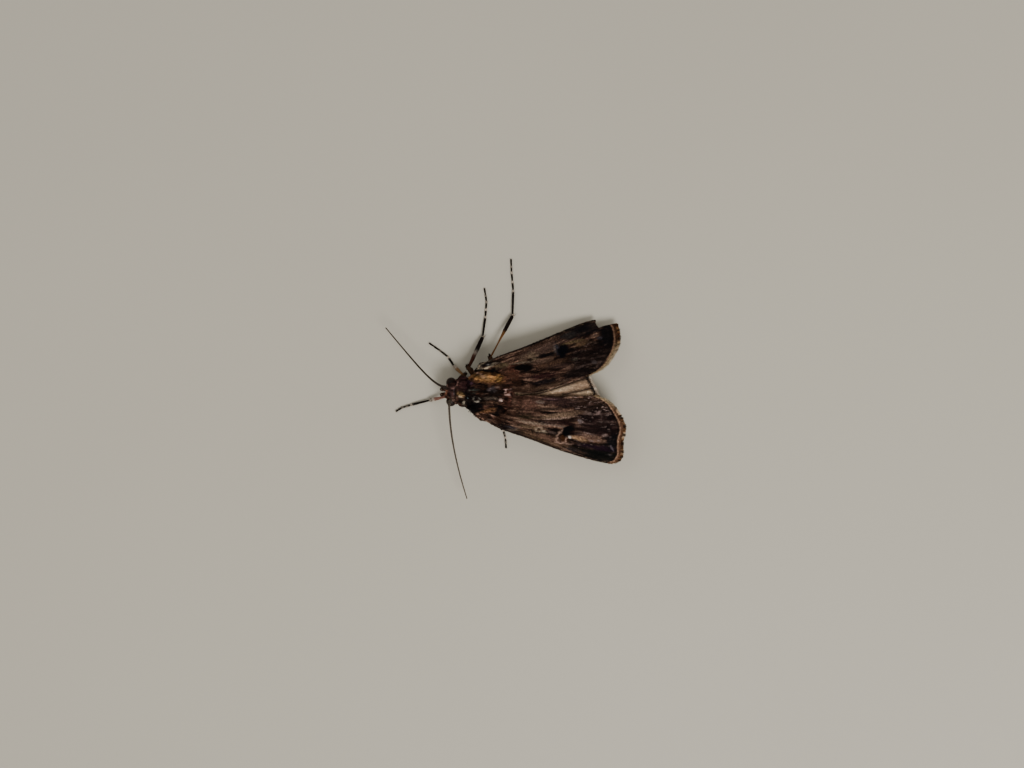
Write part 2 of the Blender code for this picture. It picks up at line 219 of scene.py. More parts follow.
class Batch:
    """Gathers many small meshes, in millimetres, and makes one object of them."""

    def __init__(self) -> None:
        """Starts empty."""
        self.count = 0
        self.points: list[Array] = []
        self.faces: list[Array] = []
        self.slots: list[Array] = []
        self.colours: list[Array] = []
        self.spots: list[Array] = []

    def add(self, points: Array, faces: list[Array], colours: Array, spots: Array | None = None,
            slot: int = 0) -> None:
        """Adds a mesh.

        Args:
            points: Corners, one row each.
            faces: Arrays of corner numbers, three or four to a row.
            colours: Linear RGB of each corner.
            spots: Place of each corner on the unwrap.
            slot: Number of the material.
        """
        self.points.append(points)
        self.colours.append(np.broadcast_to(colours, (len(points), 3)))
        self.spots.append(np.zeros((len(points), 2)) if spots is None else spots)
        for block in faces:
            self.faces.append(block + self.count)
            self.slots.append(np.full(len(block), slot))
        self.count += len(points)

    def mesh_object(self, name: str, unwrapped: bool = False) -> Piece:
        """Makes an object in the frame.

        Args:
            name: Name of the object.
            unwrapped: Whether it gets its map for the bake.

        Returns:
            The object.
        """
        mesh = bpy.data.meshes.new(name)
        points = (np.concatenate(self.points) + DATUM_SHIFT) * MM
        corners = np.concatenate([block.ravel() for block in self.faces]).astype(np.int32)
        sizes = np.concatenate([np.full(len(block), block.shape[1]) for block in self.faces])
        starts = np.concatenate([[0], np.cumsum(sizes)[:-1]]).astype(np.int32)
        mesh.vertices.add(len(points))
        mesh.vertices.foreach_set("co", points.astype(np.float32).ravel())
        mesh.loops.add(len(corners))
        mesh.loops.foreach_set("vertex_index", corners)
        mesh.polygons.add(len(sizes))
        mesh.polygons.foreach_set("loop_start", starts)
        mesh.polygons.foreach_set("material_index", np.concatenate(self.slots).astype(np.int32))
        mesh.update(calc_edges=True)
        rgba = np.ones((len(points), 4), np.float32)
        rgba[:, :3] = np.clip(np.concatenate(self.colours), 0.0, 1.0)
        mesh.color_attributes.new(MARKINGS, "FLOAT_COLOR", "POINT").data.foreach_set(
            "color", rgba.ravel())
        if unwrapped:
            spots = np.concatenate(self.spots)[corners].astype(np.float32)
            mesh.uv_layers.new(name="OFBake").data.foreach_set("uv", spots.ravel())
        mesh.shade_smooth()
        return show(name, mesh)

    def piece(self, name: str, slot: str, *finishes: "Finish", replaced: tuple[str, ...] = ()
              ) -> Piece:
        """Makes a piece of the moth, fixed to its body; a coat replaces no node and is unwrapped.

        Args:
            name: Name of the piece.
            slot: Name of its material slot; not used.
            finishes: Its finishes, in the order of their numbers.
            replaced: Nodes of the frame that it replaces.

        Returns:
            The piece.
        """
        piece = self.mesh_object(name, unwrapped=not replaced)
        for finish in finishes:
            piece.data.materials.append(finish.material())
        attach(piece, "root")
        if replaced:
            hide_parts(*replaced)
        log.info("%s: %d triangles", name, sum(len(p.vertices) - 2 for p in piece.data.polygons))
        return piece


def grid_faces(rows: int, columns: int, closed: bool = False) -> Array:
    """Quads over a grid of points stored row by row.

    Args:
        rows: How many rows of points.
        columns: How many points in a row.
        closed: Whether each row runs round into a ring.

    Returns:
        The quads' corner numbers.
    """
    i, j = np.meshgrid(np.arange(rows - 1), np.arange(columns if closed else columns - 1),
                       indexing="ij")
    k = (j + 1) % columns
    quads = np.stack([i * columns + j, i * columns + k, (i + 1) * columns + k,
                      (i + 1) * columns + j], axis=-1)
    return quads.reshape(-1, 4)


def capped(rings: Array, near: Array, far: Array) -> Form:
    """Closes a stack of rings with a point at each end.

    Args:
        rings: Points by ring, by side and by axis.
        near: Point that closes the first ring.
        far: Point that closes the last one.

    Returns:
        The points and faces of the closed form.
    """
    rows, sides, _ = rings.shape
    count = rows * sides
    j = np.arange(sides)
    k = (j + 1) % sides
    last = count - sides
    caps = np.vstack([np.stack([np.full(sides, count), j, k], 1),
                      np.stack([np.full(sides, count + 1), last + k, last + j], 1)])
    quads = grid_faces(rows, sides, closed=True)[:, ::-1]
    return np.vstack([rings.reshape(-1, 3), near, far]), [quads, caps]


def tube(line: Array, radii: Array, sides: int) -> Form:
    """A closed tube with rounded ends along a line.

    Args:
        line: Points of the middle line.
        radii: Radius at each point.
        sides: Number of sides.

    Returns:
        Its points and faces.
    """
    ways = unit(np.gradient(line, axis=0))
    across = np.cross(ways, UP)
    across = unit(np.where(np.linalg.norm(across, axis=1, keepdims=True) < 1e-3,
                           [1.0, 0.0, 0.0], across))
    over = np.cross(across, ways)
    turn = np.linspace(0.0, 2 * math.pi, sides, endpoint=False)
    ring = (across[:, None] * np.cos(turn)[None, :, None]
            + over[:, None] * np.sin(turn)[None, :, None])
    rings = line[:, None] + ring * np.asarray(radii)[:, None, None]
    return capped(rings, line[0] - ways[0] * radii[0] * 0.5, line[-1] + ways[-1] * radii[-1] * 0.5)


def thorn(root: Array, tip: Array, radius: float, bend: Array | float = 0.0) -> Form:
    """A tapering thorn that bends between its root and its tip.

    Args:
        root: Its root.
        tip: Its tip.
        radius: Radius at the root.
        bend: How far its middle stands off the straight line.

    Returns:
        Its points and faces.
    """
    t = np.linspace(0.0, 1.0, 9)[:, None]
    line = root + (tip - root) * t + bend * (t * (1 - t) * 4)
    return tube(line, radius * (1.0 - t[:, 0] * 0.93), 7)


def superellipsoid(centre: Floats, half: Floats, rings: int = 32, roundness: float = 2.2,
                   taper: float = 0.0, roll: float = 0.0) -> Form:
    """A closed ovoid along Y.

    Args:
        centre: Its middle.
        half: Half of its width, length and height.
        rings: Rings along its length, and half the sides round it.
        roundness: How full its ends are; 2 is an ellipsoid.
        taper: How much narrower the back end is than the front.
        roll: Turn about Y, in degrees.

    Returns:
        Its points and faces.
    """
    along = -np.cos(np.linspace(0.03, math.pi - 0.03, rings))
    full = (1.0 - np.abs(along) ** roundness) ** (1.0 / roundness) * (1 - taper * (along + 1) / 2)
    turn = np.linspace(0.0, 2 * math.pi, rings * 2, endpoint=False)
    x = full[:, None] * np.cos(turn) * half[0]
    z = full[:, None] * np.sin(turn) * half[2]
    y = np.broadcast_to(along[:, None] * half[1], x.shape)
    angle = math.radians(roll)
    stack = np.stack([x * math.cos(angle) + z * math.sin(angle), y,
                      z * math.cos(angle) - x * math.sin(angle)], -1)
    points, faces = capped(stack, [0.0, -half[1], 0.0], [0.0, half[1], 0.0])
    return points + np.array(centre), faces


def ringed(tones: Array, sides: int) -> Array:
    """Colours of a tube's points, from one tone for each ring."""
    return np.vstack([np.repeat(tones, sides, axis=0), tones[[0, -1]]])


def around(way: Array, angle: Array) -> Array:
    """Directions at angles round a line that runs a way; 0 is on top."""
    side = unit(np.cross(way, UP))
    return side * np.sin(angle)[:, None] + np.cross(side, way) * np.cos(angle)[:, None]


def on_unwrap(along: Array, across: Array, band: Pair = (0.02, 0.98)) -> Array:
    """Places on the unwrap, from shares along it and across a band of it."""
    low, high = band
    return np.stack([0.01 + 0.98 * along, low + (high - low) * across], -1)


# ---- hair-scales


class HairForm(Enum):
    """Forms of hair-scale: places of the rings, as (way along, width), triangles and quads."""

    BRISTLE = (((0.4, 1.0),),
               [(0, 3, 1), (0, 2, 3), (0, 1, 2), (1, 3, 4), (3, 2, 4), (2, 1, 4)], [])
    LOCK = (((0.3, 0.85), (0.7, 1.0)),
            [(0, 3, 1), (0, 2, 3), (0, 1, 2), (4, 6, 7), (6, 5, 7), (5, 4, 7)],
            [(1, 3, 6, 4), (3, 2, 5, 6), (2, 1, 4, 5)])
    VANE = (((0.5, 0.95), (1.0, 0.8)),
            [(0, 3, 1), (0, 2, 3), (0, 1, 2), (1, 3, 4), (3, 5, 4), (3, 2, 5)], [(2, 1, 4, 5)])


@dataclass
class Tufts:
    """Many hair-scales: one row each in every field."""

    roots: Array
    normals: Array
    lies: Array
    lengths: Array
    widths: Array
    lifts: Array  # degrees off the skin
    curls: Array  # how far the tip bends back to the skin, as a share of the length
    colours: Array
    tips: Array
    spots: Array

    def only(self, keep: Array) -> "Tufts":
        """The hair-scales for which keep holds."""
        return Tufts(*(getattr(self, name)[keep] for name in self.__dataclass_fields__))

    def grow(self, form: HairForm, batch: Batch, thick: float = 0.3) -> None:
        """Makes each hair-scale a closed form and adds it to the batch.

        Args:
            form: Form of the hair-scales.
            batch: Where they go.
            thick: Height of the keel as a share of the width.
        """
        lift = np.radians(self.lifts)[:, None]
        across = np.cross(self.lies, self.normals)
        length = self.lengths[:, None]
        width = self.widths[:, None]

        def centre(t: float) -> Array:
            """Points of the middle lines, a share t of the way along."""
            rise = np.sin(lift) * t - self.curls[:, None] * t * t
            return self.roots + length * (np.cos(lift) * t * self.lies + rise * self.normals)

        places, triangles, quads = form.value
        rows = [self.roots - 0.15 * width * self.normals]
        shares, offsets = [0.0], [0.0]
        for t, wide in places:
            middle, half = centre(t), width * wide / 2
            rows += [middle - across * half, middle + across * half]
            shares += [t, t]
            offsets += [-0.5, 0.5]
            if t < 1.0:
                rows.append(middle + self.normals * width * thick)
                shares.append(t)
                offsets.append(0.0)
        if t < 1.0:  # it ends in a point
            rows.append(centre(1.0))
            shares.append(1.0)
            offsets.append(0.0)
        points = np.stack(rows, 1).reshape(-1, 3)
        bases = (np.arange(len(self.roots)) * len(rows))[:, None, None]
        faces = [(bases + np.array(kind)[None]).reshape(-1, len(kind[0]))
                 for kind in (triangles, quads) if kind]
        share = np.array(shares)[None, :, None]
        colours = self.colours[:, None] * (1 - share) + self.tips[:, None] * share
        patch = np.stack([np.array(offsets), np.array(shares) - 0.5], -1) * TUFT_PATCH
        spots = np.clip(self.spots[:, None] + patch[None], 0.001, 0.999)
        batch.add(points, faces, colours.reshape(-1, 3), spots.reshape(-1, 2))


# ---- finishes


class Surface:
    """A material under way: patterns laid out in the piece's own space, sizes in millimetres."""

    def __init__(self, name: str) -> None:
        """Starts a material with its shader.

        Args:
            name: Its name.
        """
        self.material = bpy.data.materials.new(name)
        self.material.use_nodes = True
        self.tree = self.material.node_tree
        self.shader = self.tree.nodes["Principled BSDF"]
        self.place = self.node("ShaderNodeTexCoord").outputs["Object"]

    def node(self, kind: str, options: dict | None = None, values: dict | None = None,
             links: dict | None = None) -> bpy.types.Node:
        """Adds a node with its settings and links.

        Args:
            kind: The node's type.
            options: Its settings by name.
            values: Values of its sockets, by name or number.
            links: Outputs that feed its sockets, by name or number.

        Returns:
            The node.
        """
        made = self.tree.nodes.new(kind)
        for name, value in (options or {}).items():
            setattr(made, name, value)
        for name, value in (values or {}).items():
            made.inputs[name].default_value = value
        for name, source in (links or {}).items():
            self.tree.links.new(source, made.inputs[name])
        return made

    def cloud(self, size: float, detail: float, rough: float = 0.5) -> Socket:
        """A soft pattern with patches of a size."""
        return self.node("ShaderNodeTexNoise", values={
            "Scale": 1.0 / (size * MM), "Detail": detail, "Roughness": rough},
            links={"Vector": self.place}).outputs["Fac"]

    def pits(self, size: float, feature: str = "F1", randomness: float = 1.0) -> Socket:
        """A pattern of cells of a size."""
        return self.node("ShaderNodeTexVoronoi", {"feature": feature}, {
            "Scale": 1.0 / (size * MM), "Randomness": randomness},
            {"Vector": self.place}).outputs["Distance"]

    def spread(self, source: Socket, to: Pair = (0.0, 1.0), start: float = 0.0,
               end: float = 1.0) -> Socket:
        """Maps a pattern from between start and end to between two values."""
        return self.node("ShaderNodeMapRange", values={
            "From Min": start, "From Max": end, "To Min": to[0], "To Max": to[1]},
            links={"Value": source}).outputs["Result"]

    def marked(self, light: Socket) -> Socket:
        """The moth's markings, made lighter and darker by a pattern."""
        marks = self.node("ShaderNodeAttribute", {"attribute_name": MARKINGS})
        return self.node("ShaderNodeHueSaturation", links={
            "Value": light, "Color": marks.outputs["Color"]}).outputs["Color"]

    def between(self, tones: tuple[str, str], share: Socket) -> Socket:
        """A colour between two tones, by a pattern."""
        return self.node("ShaderNodeMix", {"data_type": "RGBA"}, {
            6: (*linear(tones[0]), 1.0), 7: (*linear(tones[1]), 1.0)}, {0: share}).outputs[2]

    def finish(self, colour: Socket, dull: Socket, height: Socket, relief: Pair,
               specular: float, ior: float = 1.5) -> bpy.types.Material:
        """Joins the patterns to the shader.

        Args:
            colour: Base colour.
            dull: Roughness.
            height: Pattern of the relief.
            relief: Strength of the relief, and its depth in millimetres.
            specular: Strength of the reflection.
            ior: Index of refraction.

        Returns:
            The material.
        """
        bump = self.node("ShaderNodeBump", values={
            "Strength": relief[0], "Distance": relief[1] * MM}, links={"Height": height})
        for name, source in (("Base Color", colour), ("Roughness", dull),
                             ("Normal", bump.outputs["Normal"])):
            self.tree.links.new(source, self.shader.inputs[name])
        self.shader.inputs["Specular IOR Level"].default_value = specular
        self.shader.inputs["IOR"].default_value = ior
        return self.material


CHITIN_IOR = 1.56


@dataclass(frozen=True)
class ScaleFinish:
    """Chitin scales with their markings: dry and finely ribbed, so dull with a faint silky light."""

    name: str
    roughness: Pair = (0.6, 0.9)
    specular: float = 0.05
    mottle: float = 0.3  # how much single scales vary in lightness
    mottle_size: float = 0.16  # millimetres, the width of a few scales
    rib_size: float = 0.03  # ribs of a scale are near 0.002 apart, drawn coarser so that they show
    rib_depth: float = 0.004

    def material(self) -> bpy.types.Material:
        """Makes the material.

        Returns:
            The material.
        """
        look = Surface(self.name)
        blotch = look.cloud(self.mottle_size, 3.0, 0.6)
        ribs = look.cloud(self.rib_size, 2.0)
        light = look.spread(blotch, (1.0 - self.mottle, 1.0 + self.mottle), 0.3, 0.7)
        return look.finish(look.marked(light), look.spread(ribs, self.roughness, 0.3, 0.7), ribs,
                           (0.6, self.rib_depth), self.specular, CHITIN_IOR)


@dataclass(frozen=True)
class CuticleFinish:
    """Hardened chitin, bare or under scales: brown, waxy, pitted where hairs stood."""

    name: str
    roughness: Pair = (0.35, 0.6)
    pit_size: float = 0.05  # sockets of scales are near 0.01 apart, drawn coarser so that they show
    pit_depth: float = 0.008
    fold_size: float = 0.4

    def material(self) -> bpy.types.Material:
        """Makes the material.

        Returns:
            The material.
        """
        look = Surface(self.name)
        pits = look.pits(self.pit_size)
        light = look.spread(look.cloud(self.fold_size, 5.0), (0.75, 1.25), 0.3, 0.7)
        return look.finish(look.marked(light), look.spread(pits, self.roughness, 0.0, 0.8), pits,
                           (0.7, self.pit_depth), 0.15, CHITIN_IOR)


@dataclass(frozen=True)
class FacetFinish:
    """Cornea of a compound eye: glossy over a dark brown ground with painted glints, and rows of tiny
    facets.
    """

    name: str
    # dark ground, then the lighter brown of the painted glints
    tones: tuple[str, str] = ("#120906", "#28150c")
    facet: float = 0.045  # facets are near 0.02 wide, drawn coarser so that they show
    depth: float = 0.006

    def material(self) -> bpy.types.Material:
        """Makes the material.

        Returns:
            The material.
        """
        look = Surface(self.name)
        dome = look.spread(look.pits(self.facet, "DISTANCE_TO_EDGE", 0.35), end=0.3)
        # painted glints: soft patches of lighter brown over the dark ground
        painted_glints = look.spread(look.cloud(0.5, 2.0), start=0.35, end=0.75)
        return look.finish(look.between(self.tones, painted_glints), look.spread(dome, (0.45, 0.25)), dome,
                           (0.5, self.depth), 0.12)


Finish = ScaleFinish | CuticleFinish | FacetFinish


@dataclass(frozen=True)
class PaintedFloorFinish:
    """Matt wall paint: pale warm grey, almost without gloss, with a faint roller stipple."""

    name: str = "matt_floor_paint"
    tones: tuple[str, str] = ("#c1baaa", "#bbb4a4")

    def material(self) -> bpy.types.Material:
        """Makes the material.

        Returns:
            The material.
        """
        look = Surface(self.name)
        stipple = look.cloud(1.6, 3.0)
        return look.finish(look.between(self.tones, look.cloud(60.0, 3.0)),
                           look.spread(stipple, (0.6, 0.75)), stipple, (0.25, 0.05), 0.3)


# ---- markings


@dataclass(frozen=True)
class Mark:
    """A soft-edged spot or streak, in the coordinates of what it is painted on."""

    x: float  # its middle, along and across
    y: float
    long: float  # half length along, and half width across
    wide: float
    colour: str
    strength: float = 1.0
    slope: float = 0.0  # how far it drifts across per unit along
    lean: float = 0.0  # how far it drifts along per unit across
    hollow: float = 0.0  # share of the size that is left open in the middle
    edge: float = 0.5
    wobble: float = 0.35  # how ragged the edge is

    def cover(self, x: Array, y: Array, ragged: Array) -> Array:
        """How much the mark covers each place.

        Args:
            x, y: Places along and across.
            ragged: Noise between -1 and 1 at each place.

        Returns:
            Shares from 0 to 1.
        """
        dx = x - self.x - self.lean * (y - self.y)
        dy = y - self.y - self.slope * dx
        reach = np.hypot(dx / self.long, dy / self.wide) + ragged * self.wobble
        share = fade(1.0 + self.edge, 1.0 - self.edge, reach)
        if self.hollow:
            share = share * fade(self.hollow - self.edge, self.hollow + self.edge, reach)
        return share * self.strength


def paint(ground: Array, marks: tuple[Mark, ...], x: Array, y: Array, ragged: Array) -> Array:
    """Lays marks one over another on a ground colour.

    Args:
        ground: Linear RGB at each place.
        marks: The marks, lowest first.
        x, y: Places along and across.
        ragged: Noise at each place.

    Returns:
        Linear RGB at each place.
    """
    for mark in marks:
        ground = mix(ground, mark.colour, mark.cover(x, y, ragged))
    return ground


LEFT_FOREWING_MARKS = (  # in (u, v): away from the base, and back from the front edge
    Mark(0.17, 0.84, 0.13, 0.11, "#64463a", 0.8),
    Mark(0.14, 0.95, 0.14, 0.04, "#2c1a12", 0.7),
    Mark(0.40, 0.19, 0.20, 0.13, "#54402f", 0.6),
    Mark(0.45, 0.26, 0.09, 0.06, "#64483c", 0.6),
    Mark(0.17, 0.14, 0.08, 0.10, "#0d0708", 0.9, slope=-0.9),
    Mark(0.28, 0.11, 0.04, 0.10, "#120c0a", 0.7, slope=-1.4),
    Mark(0.22, 0.20, 0.02, 0.14, "#54463c", 0.7, slope=-1.6),
    Mark(0.18, 0.25, 0.035, 0.05, "#2e2c30", 0.7),
    Mark(0.30, 0.41, 0.09, 0.045, "#66523f", 0.7),
    Mark(0.20, 0.60, 0.06, 0.05, "#241d10", 0.7),
    Mark(0.27, 0.50, 0.10, 0.026, "#84705f", 0.85),
    Mark(0.43, 0.515, 0.10, 0.010, "#6a5a52", 0.8),
    Mark(0.41, 0.545, 0.10, 0.008, "#64504a", 0.6),
    Mark(0.47, 0.565, 0.10, 0.030, "#22110f", 0.8),
    Mark(0.44, 0.615, 0.12, 0.012, "#a08474", 0.9, slope=0.30),
    Mark(0.45, 0.650, 0.15, 0.032, "#7a6350", 0.85, slope=0.27),
    Mark(0.60, 0.70, 0.09, 0.026, "#5a4638", 0.7, slope=0.10),
    Mark(0.37, 0.74, 0.10, 0.025, "#140d09", 0.8, slope=0.1),
    Mark(0.50, 0.77, 0.12, 0.020, "#241814", 0.6, slope=0.3),
    Mark(0.47, 0.88, 0.22, 0.08, "#382624", 0.6),
    Mark(0.42, 0.93, 0.07, 0.018, "#5c4446", 0.7),
    Mark(0.295, 0.865, 0.035, 0.035, "#66564c", 0.9),
    Mark(0.30, 0.79, 0.05, 0.015, "#7a6252", 0.6, slope=-0.3),
    Mark(0.76, 0.86, 0.18, 0.08, "#2a1c14", 0.5),
    Mark(0.455, 0.445, 0.060, 0.030, "#0e0604", 0.95),
    Mark(0.44, 0.400, 0.040, 0.020, "#564640", 0.7),
    Mark(0.350, 0.395, 0.026, 0.058, "#a08a74", 0.9, hollow=0.6, edge=0.35),
    Mark(0.350, 0.405, 0.012, 0.024, "#34241a", 0.9),
    Mark(0.385, 0.385, 0.018, 0.030, "#8e7c6a", 0.9),
    Mark(0.535, 0.355, 0.028, 0.075, "#3c2210", 0.95),
    Mark(0.515, 0.345, 0.036, 0.130, "#b4917e", 0.95, hollow=0.82, edge=0.22, wobble=0.25),
    Mark(0.560, 0.270, 0.040, 0.018, "#8a6e60", 0.8, slope=0.4),
    Mark(0.545, 0.465, 0.040, 0.085, "#030304", 1.0, edge=0.25),
    Mark(0.600, 0.468, 0.045, 0.020, "#140806", 0.9),
    Mark(0.635, 0.403, 0.056, 0.026, "#a07e60", 0.95, edge=0.45),
    Mark(0.655, 0.412, 0.055, 0.006, "#5e4432", 0.7),
    Mark(0.705, 0.43, 0.035, 0.010, "#64463a", 0.8, slope=0.3),
    Mark(0.570, 0.393, 0.012, 0.022, "#cbbaac", 1.0, edge=0.4, wobble=0.2),
    Mark(0.62, 0.16, 0.04, 0.06, "#342c2c", 0.7),
    Mark(0.80, 0.20, 0.18, 0.17, "#090a08", 0.96),
    # painted sheen: a purple band across the dark patch by the tip
    Mark(0.78, 0.33, 0.14, 0.035, "#1c0c18", 0.9, slope=0.1),
    Mark(0.88, 0.43, 0.06, 0.08, "#07080b", 0.95),
    Mark(0.76, 0.60, 0.16, 0.14, "#1c1010", 0.6),
    Mark(0.615, 0.605, 0.018, 0.020, "#706260", 0.9),
    Mark(0.815, 0.485, 0.024, 0.014, "#74605a", 0.9),
    Mark(0.80, 0.70, 0.030, 0.012, "#7c6660", 0.8, slope=0.6),
    Mark(0.865, 0.26, 0.018, 0.016, "#544a48", 0.7),
    Mark(0.88, 0.355, 0.010, 0.026, "#5c5258", 0.7, lean=-0.4),
)
RIGHT_FOREWING_MARKS = (
    Mark(0.07, 0.32, 0.06, 0.10, "#6c5d45", 0.85),
    Mark(0.12, 0.52, 0.07, 0.11, "#4c2c22", 0.8, slope=-1.0),
    Mark(0.05, 0.64, 0.08, 0.12, "#5c3a2c", 0.8),
    Mark(0.16, 0.66, 0.16, 0.03, "#54382c", 0.5, slope=0.2),
    Mark(0.09, 0.14, 0.03, 0.14, "#1a120e", 0.8, slope=-1.4),
    Mark(0.04, 0.015, 0.085, 0.035, "#9c8c78", 0.9),
    Mark(0.05, 0.15, 0.045, 0.03, "#8e8070", 0.8, slope=1.2),
    Mark(0.40, 0.26, 0.14, 0.11, "#56423a", 0.6),
    Mark(0.33, 0.33, 0.035, 0.10, "#74624e", 0.6, wobble=0.8),
    Mark(0.26, 0.34, 0.03, 0.10, "#5c4a3c", 0.6, slope=-1.2),
    Mark(0.38, 0.46, 0.08, 0.05, "#5c473b", 0.8),
    Mark(0.43, 0.55, 0.12, 0.05, "#4e382b", 0.75),
    Mark(0.52, 0.62, 0.12, 0.03, "#42302a", 0.6, slope=0.3),
    Mark(0.34, 0.72, 0.14, 0.05, "#2a1214", 0.7),
    Mark(0.40, 0.82, 0.14, 0.05, "#0a090d", 0.85),
    Mark(0.50, 0.93, 0.24, 0.045, "#48372a", 0.7),
    Mark(0.14, 0.92, 0.16, 0.05, "#38271c", 0.6),
    Mark(0.74, 0.80, 0.16, 0.07, "#120b0a", 0.8, slope=0.3),
    Mark(0.24, 0.400, 0.08, 0.018, "#6a5c4e", 0.8, slope=0.35),
    Mark(0.222, 0.515, 0.086, 0.074, "#050303", 1.0, slope=0.3, edge=0.3, wobble=0.25),
    Mark(0.42, 0.375, 0.080, 0.034, "#060406", 0.98, slope=0.25),
    Mark(0.495, 0.34, 0.014, 0.09, "#35343a", 0.85),
    Mark(0.478, 0.32, 0.007, 0.07, "#5a4e48", 0.8),
    Mark(0.53, 0.385, 0.042, 0.105, "#030308", 1.0, edge=0.3),
    Mark(0.59, 0.405, 0.040, 0.014, "#0a0605", 0.9),
    Mark(0.61, 0.315, 0.075, 0.020, "#64523a", 0.9, slope=0.25),
    Mark(0.665, 0.375, 0.055, 0.032, "#54402f", 0.85),
    Mark(0.75, 0.40, 0.04, 0.014, "#3c2e26", 0.8, slope=0.4),
    Mark(0.70, 0.16, 0.16, 0.13, "#0c0b0e", 0.92),
    Mark(0.60, 0.17, 0.045, 0.07, "#2c2826", 0.7),
    Mark(0.875, 0.36, 0.065, 0.16, "#060508", 0.96),
    Mark(0.75, 0.58, 0.16, 0.14, "#140b0a", 0.6),
    Mark(0.625, 0.575, 0.022, 0.022, "#443c34", 0.8),
    Mark(0.82, 0.67, 0.030, 0.016, "#4a403e", 0.9, slope=0.6),
    Mark(0.81, 0.37, 0.022, 0.014, "#3a3438", 0.8),
)
HINDWING_MARKS = (
    Mark(0.70, 0.35, 0.25, 0.30, "#8c6c52", 0.5),
    Mark(0.75, 0.70, 0.22, 0.10, "#caa88a", 0.6),
    Mark(0.45, 0.85, 0.3, 0.06, "#dcc0a0", 0.6),
)
FOREWING_VEINS = (  # (u, v) where each starts, then (u, v) where it ends
    (0.02, 0.06, 0.78, 0.035), (0.05, 0.20, 0.80, 0.09), (0.50, 0.27, 1.0, 0.17),
    (0.56, 0.31, 1.0, 0.28), (0.57, 0.36, 1.0, 0.39), (0.58, 0.44, 1.0, 0.52),
    (0.58, 0.50, 1.0, 0.64), (0.50, 0.54, 1.0, 0.74), (0.03, 0.50, 0.58, 0.54),
    (0.03, 0.34, 0.56, 0.31), (0.04, 0.86, 1.0, 0.90),
)
HINDWING_VEINS = (
    (0.02, 0.10, 1.0, 0.12), (0.45, 0.30, 1.0, 0.26), (0.46, 0.42, 1.0, 0.44),
    (0.45, 0.52, 1.0, 0.58), (0.02, 0.42, 0.46, 0.46), (0.02, 0.74, 1.0, 0.62),
    (0.05, 1.00, 1.0, 0.72), (0.58, 0.958, 1.0, 0.865),
)


# ---- wings


@dataclass
class WingPlan:
    """Outline of a wing: margins that run away from the thorax, as (out, back) in millimetres."""

    costa: list[Pair]
    outer: list[Pair]
    inner: list[Pair]
    base: list[Pair]

    def place(self, u: Array, v: Array) -> Array:
        """Plan positions, blended between the four margins.

        Args:
            u: From 0 at the base to 1 at the outer margin.
            v: From 0 at the front edge to 1 at the inner margin.

        Returns:
            Rows of (out, back).
        """
        front, rear = through(self.costa, u), through(self.inner, u)
        root, rim = through(self.base, v), through(self.outer, v)
        a, b = u[:, None], v[:, None]
        ends = [np.array(p, float) for p in (self.costa[0], self.inner[0], self.costa[-1],
                                             self.inner[-1])]
        corners = ((1 - a) * ((1 - b) * ends[0] + b * ends[1])
                   + a * ((1 - b) * ends[2] + b * ends[3]))
        return (1 - b) * front + b * rear + (1 - a) * root + a * rim - corners


LEFT_FOREWING = WingPlan(
    costa=[(3.35, -0.75), (5.2, 2.6), (6.8, 7.1), (8.5, 11.6), (9.95, 16.3), (10.65, 19.6)],
    outer=[(10.65, 19.6), (10.3, 20.7), (9.3, 21.3), (7.3, 21.3), (4.9, 21.65), (2.3, 20.3),
           (0.95, 18.9), (0.38, 17.3)],
    inner=[(0.3, 4.6), (0.27, 7.5), (0.4, 11.0), (0.5, 14.0), (0.38, 17.3)],
    base=[(3.35, -0.75), (3.64, 1.0), (3.4, 2.3), (2.2, 4.2), (0.3, 4.6)],
)
RIGHT_FOREWING = WingPlan(
    costa=[(4.1, -0.8), (5.6, 2.4), (7.42, 7.2), (9.45, 12.0), (10.85, 15.6), (11.6, 18.9)],
    outer=[(11.6, 18.9), (11.3, 20.0), (10.2, 20.8), (8.3, 21.0), (6.6, 20.5), (4.6, 19.2),
           (3.5, 17.8), (2.8, 16.1)],
    inner=[(0.28, 4.6), (0.12, 6.9), (0.5, 9.2), (1.6, 12.6), (2.8, 16.1)],
    base=[(4.1, -0.8), (3.9, 1.0), (3.4, 2.3), (2.2, 4.2), (0.28, 4.6)],
)
LEFT_HINDWING = WingPlan(
    costa=[(3.6, 3.6), (5.7, 6.6), (7.1, 10.0), (7.4, 12.6)],
    outer=[(7.4, 12.6), (6.2, 14.6), (3.6, 16.2), (0.8, 16.9)],
    inner=[(0.8, 5.0), (0.8, 9.0), (0.8, 13.0), (0.8, 16.9)],
    base=[(3.6, 3.6), (2.9, 4.3), (1.9, 4.7), (0.8, 5.0)],
)
RIGHT_HINDWING = WingPlan(
    costa=[(3.6, 3.6), (6.0, 6.6), (7.7, 9.8), (8.1, 12.2)],
    outer=[(8.1, 12.2), (6.6, 14.2), (3.2, 16.05), (-0.6, 17.9)],
    inner=[(-0.2, 5.0), (-0.5, 9.0), (-0.6, 13.0), (-0.6, 17.9)],
    base=[(3.6, 3.6), (2.7, 4.3), (1.4, 4.8), (-0.2, 5.0)],
)
# Strip that the worn right forewing has lost by its tip, in (out, back).
TEAR = ((12.6, 17.35), (10.76, 17.15), (9.98, 17.6), (10.36, 18.7), (10.62, 19.9), (11.0, 21.4),
        (12.6, 21.4))


def inside(ring: tuple[Pair, ...], x: Array, y: Array) -> Array:
    """Which places lie inside a closed outline.

    Args:
        ring: Corners of the outline.
        x, y: Places along and across.

    Returns:
        True for each place inside.
    """
    found = np.zeros(x.shape, bool)
    for (x0, y0), (x1, y1) in zip(ring, ring[1:] + ring[:1]):
        if y0 == y1:
            continue
        crosses = (y0 > y) != (y1 > y)
        found ^= crosses & (x < (x1 - x0) * (y - y0) / (y1 - y0) + x0)
    return found


class WingKind(Enum):
    """The two wings of a side; the value is the kind's name in the frame's nodes."""

    FORE = "forewing"
    HIND = "hindwing"


